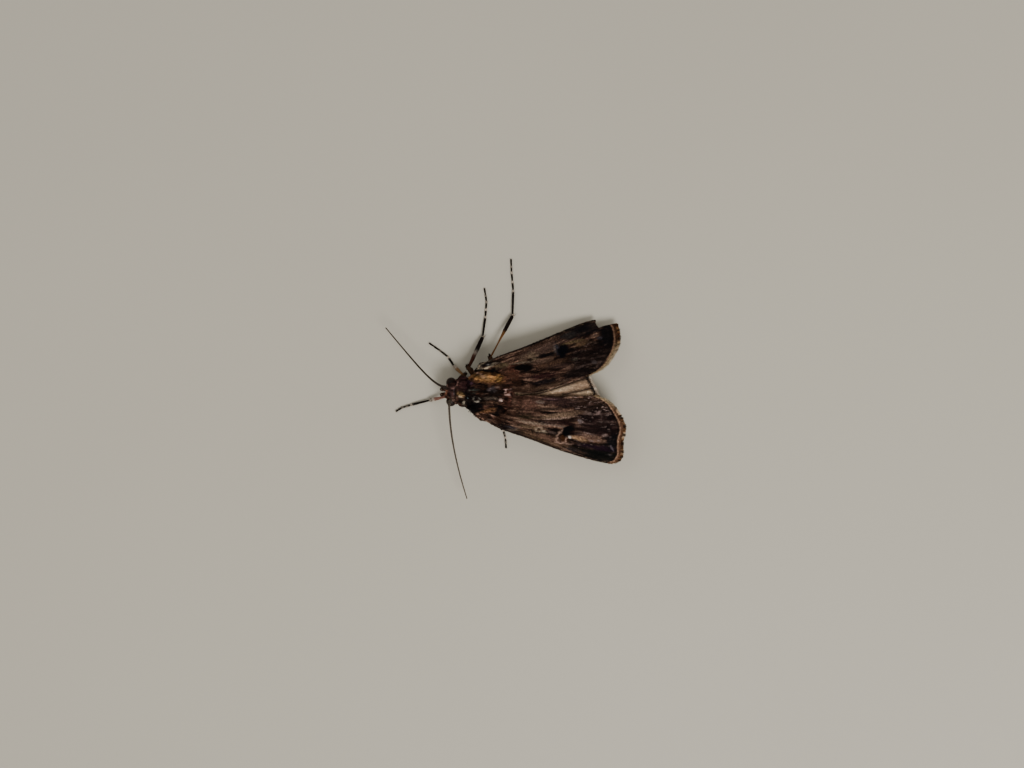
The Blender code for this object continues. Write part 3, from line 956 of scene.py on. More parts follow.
@dataclass
class Wing:
    """A wing: a thin veined membrane, tiled with scales on both sides, with a fringe."""

    side: Side
    plan: WingPlan
    tilt: float  # slope of the roof, degrees
    veins: tuple
    slot: str
    kind: WingKind = WingKind.FORE
    drop: float = 0.0
    camber: float = 0.3
    tear: tuple = ()
    steps: tuple[int, int] = (150, 72)  # cells of the membrane along and across
    pitch: float = 0.093  # between rows of scales
    under_pitch: float = 0.21
    scale_length: float = 0.25  # real scales are near 0.15; longer here so that they show
    fringe_length: float = 0.78
    fringe_start: float = 0.955
    fringe_count: int = 950  # scales in each of its rows
    fringe_first: float = 0.93  # just before its first row
    root_hairs: int = 1200
    edge_scales: int = 900
    sink: float = 0.2  # depth of the membrane's top under the outside of its scales
    membrane: float = 0.09
    ridge: float = 6.1
    ridge_fall: float = 0.05
    ridge_start: float = 4.0
    rounding: float = 2.5
    vein_rise: float = 0.05
    seed: int = SEED
    tones: tuple[str, ...] = ("#0b0402", "#1f120d", "#38261d", "#523b30", "#7c6050")
    grain: Grain = field(default_factory=lambda: Grain(SEED + 5))

    @property
    def fore(self) -> bool:
        """Whether it is a forewing."""
        return self.kind is WingKind.FORE

    @property
    def node(self) -> str:
        """The wing's name in the frame's nodes."""
        return f"{self.kind.value}_{self.side.word}"

    def vein_share(self, u: Array, v: Array, width: float) -> Array:
        """How near each place is to a vein, from 0 to 1.

        Args:
            u, v: Places along and across the wing.
            width: Half width of a vein, in v.

        Returns:
            The shares.
        """
        share = np.zeros(u.shape)
        for u0, v0, u1, v1 in self.veins:
            line = v0 + (v1 - v0) * (u - u0) / (u1 - u0)
            on = fade(u0 - 0.02, u0 + 0.02, u) * fade(u1 + 0.02, u1 - 0.01, u)
            share = np.maximum(share, on * np.exp(-((v - line) / width) ** 2))
        return share

    def at(self, u: Array, v: Array) -> Array:
        """Points on the membrane's top.

        Args:
            u, v: Places along and across the wing.

        Returns:
            One row for each place.
        """
        plan = self.plan.place(u, v)
        back = plan[:, 1]
        reach = np.hypot(np.maximum(plan[:, 0], 0.0), self.rounding) - self.rounding
        height = (self.ridge - self.ridge_fall * (back - self.ridge_start)
                  - math.tan(math.radians(self.tilt)) * reach)
        height = height + self.camber * np.sin(math.pi * v) * np.minimum(1.0, 3.0 * u)
        height = height - self.drop - self.sink + self.vein_rise * self.vein_share(u, v, 0.014)
        height = height + 0.03 * self.grain.at(u * 5.0, v * 9.0, 3.0 + self.side.value)
        return np.stack([self.side.value * plan[:, 0], back, height], -1)

    def bearings(self, u: Array, v: Array) -> tuple[Array, Array]:
        """The outward direction along the wing, and the upward normal, at each place.

        Args:
            u, v: Places along and across the wing.

        Returns:
            Both directions, one row for each place.
        """
        step = 1e-3
        out = unit(self.at(u + step, v) - self.at(u - step, v))
        over = self.at(u, v + step) - self.at(u, v - step)
        normal = unit(np.cross(out, over))
        return out, normal * np.sign(normal[:, 2:3])

    def kept(self, points: Array) -> Array:
        """Which points are not in the torn-off strip."""
        return ~inside(self.tear, points[:, 0] * self.side.value, points[:, 1])

    def ground(self, u: Array, v: Array) -> Array:
        """Colours of the upper side of a forewing before its marks: long streaks of brown.

        Args:
            u, v: Places along and across the wing.

        Returns:
            Linear RGB at each place.
        """
        fan = v - 0.5 * np.maximum(v - 0.5, 0.0) * np.maximum(u - 0.55, 0.0)
        fan = fan + 0.06 * np.sin(u * 5.0) * (v - 0.5)
        hand = self.side.value * 4.0
        broad = self.grain.at(u * 5.0, fan * 9.0, 16.5 + hand)
        middle = self.grain.at(u * 10.0, fan * 26.0, 0.5 + hand)
        fine = self.grain.at(u * 18.0, fan * 60.0, 8.5 + hand)
        streak = 0.42 + 0.3 * broad + 0.46 * middle + 0.52 * fine
        return ramp(streak, (0.06, 0.27, 0.42, 0.57, 0.80), self.tones)

    def upper_colour(self, u: Array, v: Array) -> Array:
        """Linear RGB of the upper side at each place.

        Args:
            u, v: Places along and across the wing.

        Returns:
            One row for each place.
        """
        ragged = self.grain.at(u * 40.0, v * 40.0, 24.5)
        if not self.fore:
            colour = ramp(self.grain.at(u * 7.0, v * 30.0), (-0.5, 0.0, 0.5),
                          ("#8a6e56", "#b29074", "#c9ab8c"))
            colour = paint(colour, HINDWING_MARKS, u, v, ragged)
            colour = mix(colour, "#2a180c", self.vein_share(u, v, 0.022))
            rim = fade(0.915, 0.93, u) * fade(0.962, 0.95, u)
            return mix(colour, "#100804", rim)
        right = self.side is Side.RIGHT
        colour = self.ground(u, v)
        distal = (fade(0.56, 0.66, u) * fade(0.925, 0.885, u) * fade(0.42, 0.52, v)
                  * fade(0.95, 0.85, v))
        ray = self.grain.at(u * 9.0, v * 44.0, 40.5) + 0.5 * self.grain.at(u * 30.0, v * 60.0, 44.5)
        rays = ramp(ray, (-0.3, 0.1, 0.4, 0.8), ("#0c0606", "#22130f", "#4c3833", "#806a62"))
        colour = mix(colour, rays * (0.5 if right else 1.0), distal * 0.85)
        fleck = fade(0.3, 0.55, self.grain.at(u * 36.0, v * 110.0, 50.5)) * fade(0.93, 0.88, u)
        fleck = fleck * fade(0.55, 0.68, u) * fade(0.1, 0.25, v)
        colour = mix(colour, "#5e4c46" if right else "#988078", fleck * 0.75)
        colour = paint(colour, RIGHT_FOREWING_MARKS if right else LEFT_FOREWING_MARKS, u, v, ragged)
        edge = fade(0.065, 0.04, v + 0.012 * ragged) * fade(0.085, 0.115, u)
        colour = mix(colour, "#0f0a08", edge * 0.85)
        dots = fade(0.80, 1.0, np.cos(u * 2 * math.pi / 0.075)) * fade(0.5, 0.56, u)
        dots = dots * fade(0.05, 0.03, v) * fade(0.95, 0.9, u)
        colour = mix(colour, "#8a7864", dots * 0.6)
        colour = colour * np.exp(0.4 * self.grain.at(u * 90.0, v * 60.0, 12.5))[:, None]
        near = 0.885 if right else 0.9
        line = fade(near, near + 0.018, u + 0.012 * ragged) * fade(0.929, 0.922, u)
        colour = mix(colour, "#0a0606", line * 0.85)
        brown = mix("#3a2416" if right else "#5c3e2c", "#948060", self.corner(v) * 0.8)
        colour = mix(colour, brown, fade(0.926, 0.933, u) * 0.9)
        pale = fade(0.925, 0.93, u) * fade(0.942, 0.937, u) * fade(0.03, 0.08, v)
        return mix(colour, "#80604c" if right else "#a07c64", pale * 0.9)

    def corner(self, v: Array) -> Array:
        """How far the fringe has turned to cream toward the wing's inner corner, from 0 to 1."""
        return fade(0.4, 0.66, v) if self.side is Side.RIGHT else fade(0.66, 0.86, v)

    def under_colour(self, u: Array, v: Array) -> Array:
        """Linear RGB of the underside: greyish buff, darker toward the tip, with a faint spot.

        Args:
            u, v: Places along and across the wing.

        Returns:
            One row for each place.
        """
        soft = self.grain.at(u * 8.0, v * 20.0, 5.5)
        base, pale = ("#6c5c4a", "#8a7a64") if self.fore else ("#a89674", "#c4b390")
        colour = mix(base, pale, 0.5 + 0.5 * soft)
        spot = np.exp(-(((u - 0.52) / 0.03) ** 2 + ((v - 0.4) / 0.06) ** 2))
        colour = mix(colour, "#2c221c", spot * 0.7)
        colour = mix(colour, "#3c3026", fade(0.7, 0.95, u) * 0.4)
        return mix(colour, "#4a3a2c", self.vein_share(u, v, 0.012) * 0.5)

    def build_membrane(self, finish: ScaleFinish) -> Piece:
        """Makes the membrane: two skins closed along every free edge.

        Args:
            finish: Its finish.

        Returns:
            The piece.
        """
        nu, nv = self.steps
        grid = np.meshgrid(np.linspace(0.0, self.fringe_start + 0.008, nu + 1),
                           np.linspace(0.0, 1.0, nv + 1), indexing="ij")
        u, v = (places.ravel() for places in grid)
        top = self.at(u, v)
        _, normal = self.bearings(u, v)
        rim = np.clip(np.minimum(v, 1 - v) * 10.0, 0.0, 1.0)  # it thins toward its long edges
        bottom = top - normal * (self.membrane * (0.55 + 0.45 * rim)[:, None])
        quads = grid_faces(nu + 1, nv + 1)
        quads = quads[self.kept(top[quads].mean(1))]
        upper = quads[:, ::-1] if self.side is Side.LEFT else quads
        count = len(top)
        lower = upper[:, ::-1] + count
        sides = np.concatenate([upper[:, [k, (k + 1) % 4]] for k in range(4)])
        codes, twins = (sides[:, k].astype(np.int64) * count + sides[:, 1 - k] for k in (0, 1))
        free = sides[~np.isin(codes, twins)]
        walls = np.stack([free[:, 1], free[:, 0], free[:, 0] + count, free[:, 1] + count], 1)
        batch = Batch()
        # painted shade: the membrane is darkest at its root, where it lies under the root hair
        shade = (0.1 + 0.7 * fade(0.006, 0.03, u))[:, None]  # darkest at the root, under the hair
        colours = np.vstack([self.upper_colour(u, v) * shade, self.under_colour(u, v) * shade])
        points = np.vstack([top, bottom])
        used = np.unique(np.concatenate([upper.ravel(), lower.ravel()]))
        number = np.full(len(points), -1)
        number[used] = np.arange(len(used))
        batch.add(points[used], [number[upper], number[lower], number[walls]], colours[used])
        return batch.piece(f"{self.node}_membrane", self.slot, finish, replaced=(self.node,))

    def rows(self, pitch: float, rng: Dice) -> tuple[Array, Array]:
        """Roots of the scales: staggered rows across the wing, a pitch apart.

        Args:
            pitch: Distance between rows and within them.
            rng: Source of the small shifts.

        Returns:
            Their u and v.
        """
        ends = self.at(np.array([0.0, 1.0]), np.array([0.35, 0.35]))
        count = int(np.linalg.norm(ends[1] - ends[0]) / pitch)
        us, vs = [], []
        for i in range(count):
            u = (i + 0.5) / count * (self.fringe_start + 0.005)
            edge = self.at(np.full(9, u), np.linspace(0.0, 1.0, 9))
            across = np.linalg.norm(np.diff(edge, axis=0), axis=1).sum()
            n = max(3, int(across / pitch))
            v = (np.arange(n) + 0.5 * (i % 2) + 0.25) / n
            us.append(np.full(n, u))
            vs.append(v)
        u, v = np.concatenate(us), np.concatenate(vs)
        u = u + rng.normal(0.0, 0.22, len(u)) * pitch / 21.0
        v = v + rng.normal(0.0, 0.22, len(v)) * pitch / 8.0
        return np.clip(u, 0.002, 0.965), np.clip(v, 0.002, 0.998)

    def build_scales(self, finish: ScaleFinish, upper: bool) -> Piece:
        """Tiles one side of the wing with overlapping scales.

        Args:
            finish: Their finish.
            upper: Whether it is the upper side.

        Returns:
            The piece.
        """
        rng = np.random.default_rng(self.seed + (1 if upper else 2))
        u, v = self.rows(self.pitch if upper else self.under_pitch, rng)
        out, normal = self.bearings(u, v)
        roots = self.at(u, v)
        if not upper:
            roots = roots - normal * self.membrane
            normal = -normal
        n = len(u)
        turn = rng.normal(0.0, 0.16, n)[:, None]
        lies = unit(out + np.cross(normal, out) * turn)
        lengths = self.scale_length * rng.uniform(0.8, 1.2, n) * (1.0 if upper else 1.35)
        keep = self.kept(roots) & self.kept(roots + lies * lengths[:, None])
        colour = self.upper_colour(u, v) if upper else self.under_colour(u, v)
        colour = colour * np.exp(rng.normal(0.0, 0.24, n))[:, None]
        stray = rng.random(n)
        strength = 1.0 if self.fore else 0.4
        colour = mix(colour, colour * 0.25, (stray < 0.07) * 0.8 * strength)
        colour = mix(colour, colour * 1.9, (stray > 0.96) * 0.8 * strength)
        spots = on_unwrap(u, v)
        lift = rng.uniform(4.0, 10.0, n)  # drawn before the widths
        tufts = Tufts(roots, normal, lies, lengths, lengths * rng.uniform(0.5, 0.66, n), lift,
                      np.full(n, 0.03), colour * 0.85, colour * 1.08, spots)
        batch = Batch()
        tufts.only(keep).grow(HairForm.VANE, batch, thick=0.12)
        name = f"{self.node}_scales_{'upper' if upper else 'under'}"
        return batch.piece(name, self.slot, finish)

    def fringe_colour(self, v: Array) -> Array:
        """Linear RGB of the fringe along the outer margin: tan, chequered dark, cream by the corner.

        Args:
            v: Places along the margin.

        Returns:
            One row for each place.
        """
        check = self.grain.at(v * 34.0, v * 0.0, 2.5) + 0.4 * self.grain.at(v * 90.0, v * 0.0, 6.5)
        if not self.fore:
            return ramp(check, (-0.5, 0.5), ("#9a8876", "#b8aa98"))
        tones = ("#3a2412", "#5e4028", "#8a6c50", "#a88e72")
        if self.side is Side.RIGHT:
            tones = ("#2c180e", "#5a3722", "#74502f", "#8e7450")
        colour = ramp(check, (-0.5, -0.1, 0.2, 0.6), tones)
        return mix(colour, "#b4a184", self.corner(v) * 0.85)

    def build_fringe(self, finish: ScaleFinish) -> Piece:
        """Sets the long scales along the outer margin and the shorter ones along the inner one.

        Args:
            finish: Their finish.

        Returns:
            The piece.
        """
        rng = np.random.default_rng(self.seed + 3)
        batch = Batch()
        count, first = self.fringe_count, self.fringe_first
        for start, share in ((first + 0.01, 0.55), (first + 0.018, 0.8), (0.962, 1.0)):
            v = np.sort(rng.random(count))
            u = np.full(count, start) + rng.normal(0.0, 0.003, count)
            reach = np.linalg.norm(self.at(np.ones(count), v) - self.at(u, v), axis=1)
            self.add_fringe(batch, rng, u, v, np.minimum(reach, self.fringe_length) * share * 1.05,
                            self.fringe_colour(v), True)
        u = rng.uniform(0.05, 0.97, count)
        v = np.full(count, 0.992) - rng.uniform(0.0, 0.02, count)
        length = (0.25 + 0.35 * fade(0.5, 1.0, u)) * rng.uniform(0.7, 1.2, count)
        colour = self.upper_colour(u, np.full(count, 0.93)) * 1.1
        colour = mix(colour, "#5a4634", 0.3)
        self.add_fringe(batch, rng, u, v, length, colour, False)
        if self.fore:
            self.add_root_hair(batch, rng)
        return batch.piece(f"{self.node}_fringe", self.slot, finish)

    def add_root_hair(self, batch: Batch, rng: Dice) -> None:
        """Adds the long hair-scales over the wing's root and the flat ones along its front edge.

        Args:
            batch: Where they go.
            rng: Source of the scatter.
        """
        n, edging = self.root_hairs, self.edge_scales
        u = np.append(0.002 + 0.06 * rng.random(n) ** 1.5, rng.uniform(0.01, 0.9, edging))
        v = np.append(rng.uniform(0.1, 0.99, n), rng.uniform(0.001, 0.012, edging))
        flat = np.append(np.zeros(n), np.ones(edging))
        out, normal = self.bearings(u, v)
        lies = unit(out + np.cross(normal, out) * rng.normal(0.0, 0.22, n + edging)[:, None]
                    * (1.0 - 0.8 * flat[:, None]))
        colour = mix(self.upper_colour(u + 0.02, v), "#3c261c", 0.35 * (1.0 - flat))
        colour = colour * np.exp(rng.normal(0.0, 0.3, n + edging))[:, None]
        spots = on_unwrap(u, v)
        length = rng.uniform(0.5, 1.1, n + edging) * (1.0 - 0.45 * flat)
        over_edge = 0.35 * fade(0.016, 0.0, u) * (1.0 - flat)  # the first ones hide the wing's root
        roots = self.at(u, v) - out * over_edge[:, None]
        keep = self.kept(roots) & self.kept(roots + lies * length[:, None])
        tufts = Tufts(roots, normal, lies, length, rng.uniform(0.06, 0.1, n + edging),
                      rng.uniform(6.0, 22.0, n + edging) * (1.0 - 0.85 * flat),
                      rng.uniform(0.08, 0.25, n + edging) * (1.0 - flat),
                      colour * (0.7 + 0.15 * flat[:, None]), colour * 1.12, spots)
        tufts.only(keep).grow(HairForm.LOCK, batch)

    def add_fringe(self, batch: Batch, rng: Dice, u: Array, v: Array,
                   lengths: Array, colour: Array, outward: bool) -> None:
        """Adds one row of fringe scales.

        Args:
            batch: Where they go.
            rng: Source of the small shifts.
            u, v: Roots along and across the wing.
            lengths: Their lengths.
            colour: Their colours.
            outward: Whether they point past the outer margin, or back along the inner one.
        """
        out, normal = self.bearings(u, v)
        beyond = np.minimum(v + 0.01, 1.0)
        inward = unit(self.at(u, beyond) - self.at(u, beyond - 0.01))
        lies = out if outward else unit(out + inward * 0.55)
        turn = rng.normal(0.0, 0.1, len(u))[:, None]
        lies = unit(lies + np.cross(normal, lies) * turn)
        roots = self.at(u, v) - normal * rng.uniform(0.0, self.membrane, len(u))[:, None]
        keep = self.kept(roots) & self.kept(roots + lies * lengths[:, None] * 0.8)
        widths = rng.uniform(0.05, 0.085, len(u))
        colour = colour * rng.normal(1.0, 0.14, len(u))[:, None]
        spots = on_unwrap(u, v)
        scallop, glow = 0.0, 1.15
        if outward and self.fore:
            wander = 0.8 + 1.6 * self.grain.at(v * 9.0, v * 0.0, 30.5)
            scallop = 0.95 * fade(0.1, 0.6, np.cos(v * math.pi * 24.0 + wander))
            scallop = scallop * (1.0 - 0.8 * self.corner(v))
            colour = mix(colour * 0.8, "#24140a", scallop * 0.6)
            lengths = lengths * (0.9 + 0.12 * scallop)
            glow = 2.0 - 0.7 * self.corner(v)[:, None]
        tufts = Tufts(roots, normal, lies, lengths * rng.uniform(0.85, 1.1, len(u)), widths,
                      rng.normal(0.0, 3.0, len(u)), rng.uniform(0.0, 0.04, len(u)),
                      colour, mix(colour * glow, "#1c0f07", scallop), spots)
        tufts.only(keep).grow(HairForm.LOCK, batch)

    def build(self, membrane: ScaleFinish, scales: ScaleFinish) -> list[Piece]:
        """Builds the whole wing.

        Args:
            membrane: Finish of the membrane.
            scales: Finish of the scales and the fringe.

        Returns:
            Its pieces.
        """
        return [self.build_membrane(membrane), self.build_scales(scales, True),
                self.build_scales(scales, False), self.build_fringe(scales)]


# ---- trunk


TRUNK_MARKS = (  # seen from above, in (x, y) from the middle of the thorax
    Mark(-1.9, -2.9, 1.5, 1.2, "#2c181a", 0.8),
    Mark(0.9, -2.2, 1.5, 1.0, "#17110f", 0.8),
    Mark(-2.45, -2.5, 0.25, 0.6, "#5c4246", 0.7),
    Mark(-1.6, -2.0, 0.35, 0.5, "#33222a", 0.7),
    Mark(-0.5, -1.3, 0.14, 0.6, "#50544c", 0.8),
    Mark(-0.1, -1.3, 0.10, 0.5, "#44463e", 0.6),
    Mark(0.2, 0.3, 1.3, 1.6, "#1c100c", 0.7),
    Mark(-0.54, 1.25, 0.36, 0.55, "#4c4242", 0.8),
    Mark(0.65, 1.1, 0.22, 1.1, "#5c4e44", 0.8),
    Mark(1.35, 1.3, 0.30, 1.2, "#4c382c", 0.7),
    Mark(1.9, -1.3, 0.75, 1.1, "#0c0a0c", 0.96),
    Mark(0.80, -0.97, 0.42, 0.50, "#888074", 0.9, hollow=0.72, edge=0.25, wobble=0.25),
    Mark(0.45, -0.97, 0.20, 0.30, "#1a1210", 0.8),
    Mark(0.65, -2.24, 0.10, 0.12, "#8a9494", 0.9),
    Mark(0.6, 4.9, 3.2, 1.9, "#3a241c", 0.75),
    Mark(0.4, 4.3, 1.2, 0.8, "#5a382e", 0.6, wobble=0.6),
    Mark(-1.9, 4.2, 1.1, 1.4, "#3c261c", 0.6),
    Mark(-2.5, 3.3, 0.7, 0.8, "#54342a", 0.7),
    Mark(-2.3, 0.55, 0.70, 2.4, "#6c4a2e", 0.95, lean=0.08),
    Mark(-2.25, 0.45, 0.42, 1.7, "#906840", 0.9, wobble=0.6, lean=0.05),
    Mark(-2.45, 0.15, 0.22, 0.40, "#c89c70", 0.9),
    Mark(-2.1, 0.65, 0.16, 0.30, "#b98c5c", 0.8),
    Mark(-2.2, 2.2, 0.30, 0.45, "#96703f", 0.8),
    Mark(-3.0, -0.9, 0.14, 1.1, "#9c7a66", 0.9, lean=0.55),
    Mark(-2.6, -1.2, 0.25, 0.5, "#5a4226", 0.7),
    # painted shadow: the black gap between the right shoulder flap and the knuckle at the wing's root
    Mark(-3.35, 0.7, 0.26, 2.2, "#0b0706", 1.0, lean=0.1),
    Mark(-4.3, 0.55, 0.5, 1.3, "#a0907a", 0.95, hollow=0.7, edge=0.2, lean=-0.36, wobble=0.2),
    Mark(-4.3, 0.55, 0.28, 0.8, "#0f0a09", 0.95, lean=-0.36),
    Mark(-4.28, 0.75, 0.11, 0.17, "#8a8480", 0.9),
    Mark(-3.98, 3.1, 0.28, 1.1, "#74694a", 0.9),
    Mark(2.5, 0.7, 0.30, 1.25, "#644430", 0.95, lean=-0.25),
    Mark(2.38, 0.6, 0.10, 0.9, "#7e5a3a", 0.8, lean=-0.25),
    Mark(2.97, -0.82, 0.22, 0.32, "#b08872", 0.9),
    Mark(2.95, 0.6, 0.14, 1.4, "#100907", 0.95, lean=0.05),
    Mark(3.3, 1.6, 0.09, 1.6, "#8e6e60", 0.85, lean=0.28),
    Mark(0.83, 2.54, 0.26, 0.26, "#b8998e", 1.0, edge=0.4, wobble=0.5),
    Mark(-0.25, 3.75, 0.42, 0.45, "#a88a80", 0.9, hollow=0.62, edge=0.3, wobble=0.6),
    Mark(-0.55, 3.35, 0.12, 0.30, "#a08078", 0.8),
    Mark(-0.3, -5.5, 0.5, 0.22, "#a87058", 0.7),
    Mark(-0.4, -4.7, 0.9, 0.6, "#3c2826", 0.65),
    Mark(-1.62, -4.7, 0.95, 0.95, "#806058", 0.85, hollow=0.82, edge=0.2, wobble=0.2),
    Mark(-0.2, -4.35, 0.5, 0.10, "#6e6060", 0.6),
    Mark(0.42, -3.45, 0.17, 0.30, "#b4a088", 0.95),
    Mark(0.08, -3.32, 0.34, 0.46, "#866a48", 0.9, lean=0.3, wobble=0.4),
    Mark(1.25, -2.9, 0.28, 0.28, "#857a6a", 0.85),
)


@dataclass
class Trunk:
    """Head, collar, thorax, shoulder flaps and abdomen as one skin, with the hips of the legs."""

    head: tuple = ((-0.25, -4.6, 3.7), (1.32, 1.0, 1.35))
    collar: tuple = ((-0.28, -3.1, 3.95), (2.05, 1.35, 1.8))
    thorax: tuple = ((-0.05, 0.3, 4.05), (2.75, 4.0, 2.25))
    abdomen: tuple = ((0.0, 8.1, 2.85), (2.05, 6.1, 1.55))
    shield: tuple = ((0.0, 3.2, 4.85), (2.7, 1.9, 0.95))  # hind plate, up to the wings
    shoulders: tuple = (((2.95, 1.3, 4.95), (0.9, 2.6, 0.65)),  # left, then right
                        ((3.1, 1.3, 4.55), (1.0, 2.6, 0.65)))
    roots: tuple = (((3.45, 0.5, 5.35), (0.5, 1.3, 0.4)),  # knuckles at the wings' front corners
                    ((3.95, 0.6, 4.75), (0.65, 1.35, 0.42)))
    hips: tuple = (((1.0, -3.3, 1.9), (0.5, 0.95, 0.95)), ((1.25, -0.9, 1.7), (0.75, 0.95, 0.95)),
                   ((1.3, 1.6, 1.75), (0.8, 1.0, 0.95)))
    flap: tuple = ((2.35, 0.4, 5.5), (0.85, 2.4, 0.5))
    flap_roll: float = 44.0
    eye_spread: float = 1.42
    eye_centre: Pair = (-4.78, 3.62)
    eye_radius: float = 0.77
    head_x: float = -0.25
    voxel: float = 0.1
    segments: int = 7
    ringed: Pair = (4.6, 13.6)  # stretch of the abdomen with rings
    grain: Grain = field(default_factory=lambda: Grain(SEED + 9))
    points: Array = field(init=False)
    triangles: Array = field(init=False)
    normals: Array = field(init=False)

    def axis(self, y: Array) -> tuple[Array, Array]:
        """Middle line of the trunk: its x and z at each y."""
        return (np.interp(y, (-5.6, -3.0, 0.0, 14.0), (-0.25, -0.2, -0.05, 0.0)),
                np.interp(y, (-5.6, -3.0, 0.0, 4.0, 7.0, 14.0), (3.7, 3.9, 4.0, 3.7, 2.9, 2.8)))

    def solids(self) -> list[Form]:
        """The rounded forms that the skin is drawn over.

        Returns:
            Points and faces of each.
        """
        forms = [superellipsoid(*self.head), superellipsoid(*self.collar),
                 superellipsoid(*self.thorax), superellipsoid(*self.shield),
                 superellipsoid(*self.abdomen, roundness=2.5, taper=0.35)]
        for side, root, shoulder in zip(Side, self.roots, self.shoulders):
            (x, y, z), half = self.flap
            forms.append(superellipsoid((side.value * x, y, z), half,
                                        roll=side.value * self.flap_roll))
            for (x, y, z), half in (root, shoulder, *self.hips):
                forms.append(superellipsoid((side.value * x, y, z), half))
        return forms

    def shape(self) -> None:
        """Draws one closed skin over the forms and steps the abdomen's rings in it."""
        batch = Batch()
        for points, faces in self.solids():
            batch.add(points, faces, np.zeros(3))
        rough = batch.mesh_object("trunk_forms")
        melt = rough.modifiers.new("one skin", "REMESH")
        melt.mode = "VOXEL"
        melt.voxel_size = self.voxel * MM
        calm = rough.modifiers.new("calm", "SMOOTH")
        calm.factor = 0.5
        calm.iterations = 12
        mesh = bpy.data.meshes.new_from_object(
            rough.evaluated_get(bpy.context.evaluated_depsgraph_get()))
        bpy.data.objects.remove(rough)
        mesh.calc_loop_triangles()
        points = values_of(mesh.vertices, "co", np.float32) / MM - DATUM_SHIFT
        self.triangles = values_of(mesh.loop_triangles, "vertices", np.int32)
        self.normals = values_of(mesh.vertices, "normal", np.float32).astype(float)
        bpy.data.meshes.remove(mesh)
        self.points = points + self.normals * self.rings(points)[:, None]

    def along_ring(self, y: Array) -> Array:
        """How far each place is along its ring of the abdomen, from 0 to 1."""
        start, end = self.ringed
        return (y - start) / (end - start) * self.segments % 1.0

    def rings(self, points: Array) -> Array:
        """Height of the abdomen's overlapping rings, each a low step that ends toward the tail.

        Args:
            points: Places on the skin.

        Returns:
            The heights.
        """
        step = self.along_ring(points[:, 1])
        start = self.ringed[0]
        on = fade(start - 0.3, start + 0.6, points[:, 1])
        return 0.07 * on * step ** 3 * fade(1.0, 0.93, step)

    def colour(self, points: Array) -> Array:
        """Linear RGB of the coat at each place, with painted shade and highlights on its locks.

        Args:
            points: The places.

        Returns:
            One row for each place.
        """
        x, y, z = points.T
        fine = self.grain.at(x / 0.22, y / 0.5, z / 0.3)
        broad = self.grain.at(x / 0.8, y / 1.1, z / 0.8 + 9.0)
        mixed = 0.5 + 0.4 * fine + 0.35 * broad
        colour = mix("#120c0a", "#452e24", fade(0.3, 0.8, mixed))
        colour = mix(colour, "#7e6a60", fade(0.78, 1.02, mixed) * 0.7)
        painted = paint(colour, TRUNK_MARKS, x, y, self.grain.at(x * 3.0, y * 3.0, 4.0))
        colour = mix(colour, painted, fade(3.3, 4.2, z))
        below = mix("#5a4636", "#8c765e", fade(0.2, 0.9, mixed))
        colour = mix(colour, below, fade(3.4, 2.2, z) * 0.8 * fade(-5.0, -3.5, y))
        ring = fade(0.75, 0.98, self.along_ring(y))
        belly = mix("#7a6650", "#a18d70", fade(0.2, 0.9, mixed))
        belly = mix(belly, "#4c3c30", (1 - ring) * 0.35)
        colour = mix(colour, belly, fade(4.3, 5.0, y))
        # lightness by lock and by single hair-scale: partly random tone, partly painted shade between
        # the locks and painted highlights on single hair-scales
        locks = self.grain.at(x / 0.24, y / 0.42, z / 0.3 + 17.0)
        single = self.grain.at(x / 0.11, y / 0.22, z / 0.14 + 23.0)
        return colour * np.exp(1.2 * locks * fade(5.0, 4.0, y) + 0.8 * single)[:, None]

    def from_eye(self, points: Array) -> Array:
        """Each place as seen from the middle of the nearer eye."""
        x = points[:, 0] - self.head_x
        return np.column_stack([x - np.where(x < 0, -self.eye_spread, self.eye_spread),
                                points[:, 1:] - self.eye_centre])

    def eye_gap(self, points: Array) -> Array:
        """Distance from each place to the surface of the nearer eye."""
        return np.linalg.norm(self.from_eye(points), axis=1) - self.eye_radius

    def add_to(self, batch: Batch, slot: int) -> None:
        """Adds the skin to the batch."""
        colour = mix(self.colour(self.points), "#2a1c14", 0.5)
        batch.add(self.points, [self.triangles], colour, None, slot)


class CoatPart(Enum):
    """Lengths of the trunk that carry one coat piece each."""

    HEAD = "head"
    COLLAR = "collar"
    THORAX = "thorax"
    FLAPS = "flaps"
    ABDOMEN = "abdomen"


@dataclass(frozen=True)
class CoatCut:
    """How the hair-scales of one stretch of the trunk are set."""

    part: CoatPart
    reach: Pair  # from and to, along the body
    count: int
    length: float
    width: float
    lift: float
    curl: float
    slot: str


COAT_CUTS = (
    CoatCut(CoatPart.HEAD, (-6.2, -3.75), 8500, 0.42, 0.085, 26.0, 0.25, "head_fur"),
    CoatCut(CoatPart.COLLAR, (-3.75, -2.2), 7500, 0.7, 0.1, 28.0, 0.28, "body_fur"),
    CoatCut(CoatPart.THORAX, (-2.2, 4.6), 15500, 0.85, 0.105, 27.0, 0.3, "body_fur"),
    CoatCut(CoatPart.FLAPS, (-2.6, 3.3), 7000, 0.8, 0.105, 22.0, 0.26, "body_fur"),
    CoatCut(CoatPart.ABDOMEN, (4.2, 15.0), 14000, 0.5, 0.11, 12.0, 0.12, "abdomen_fur"),
)


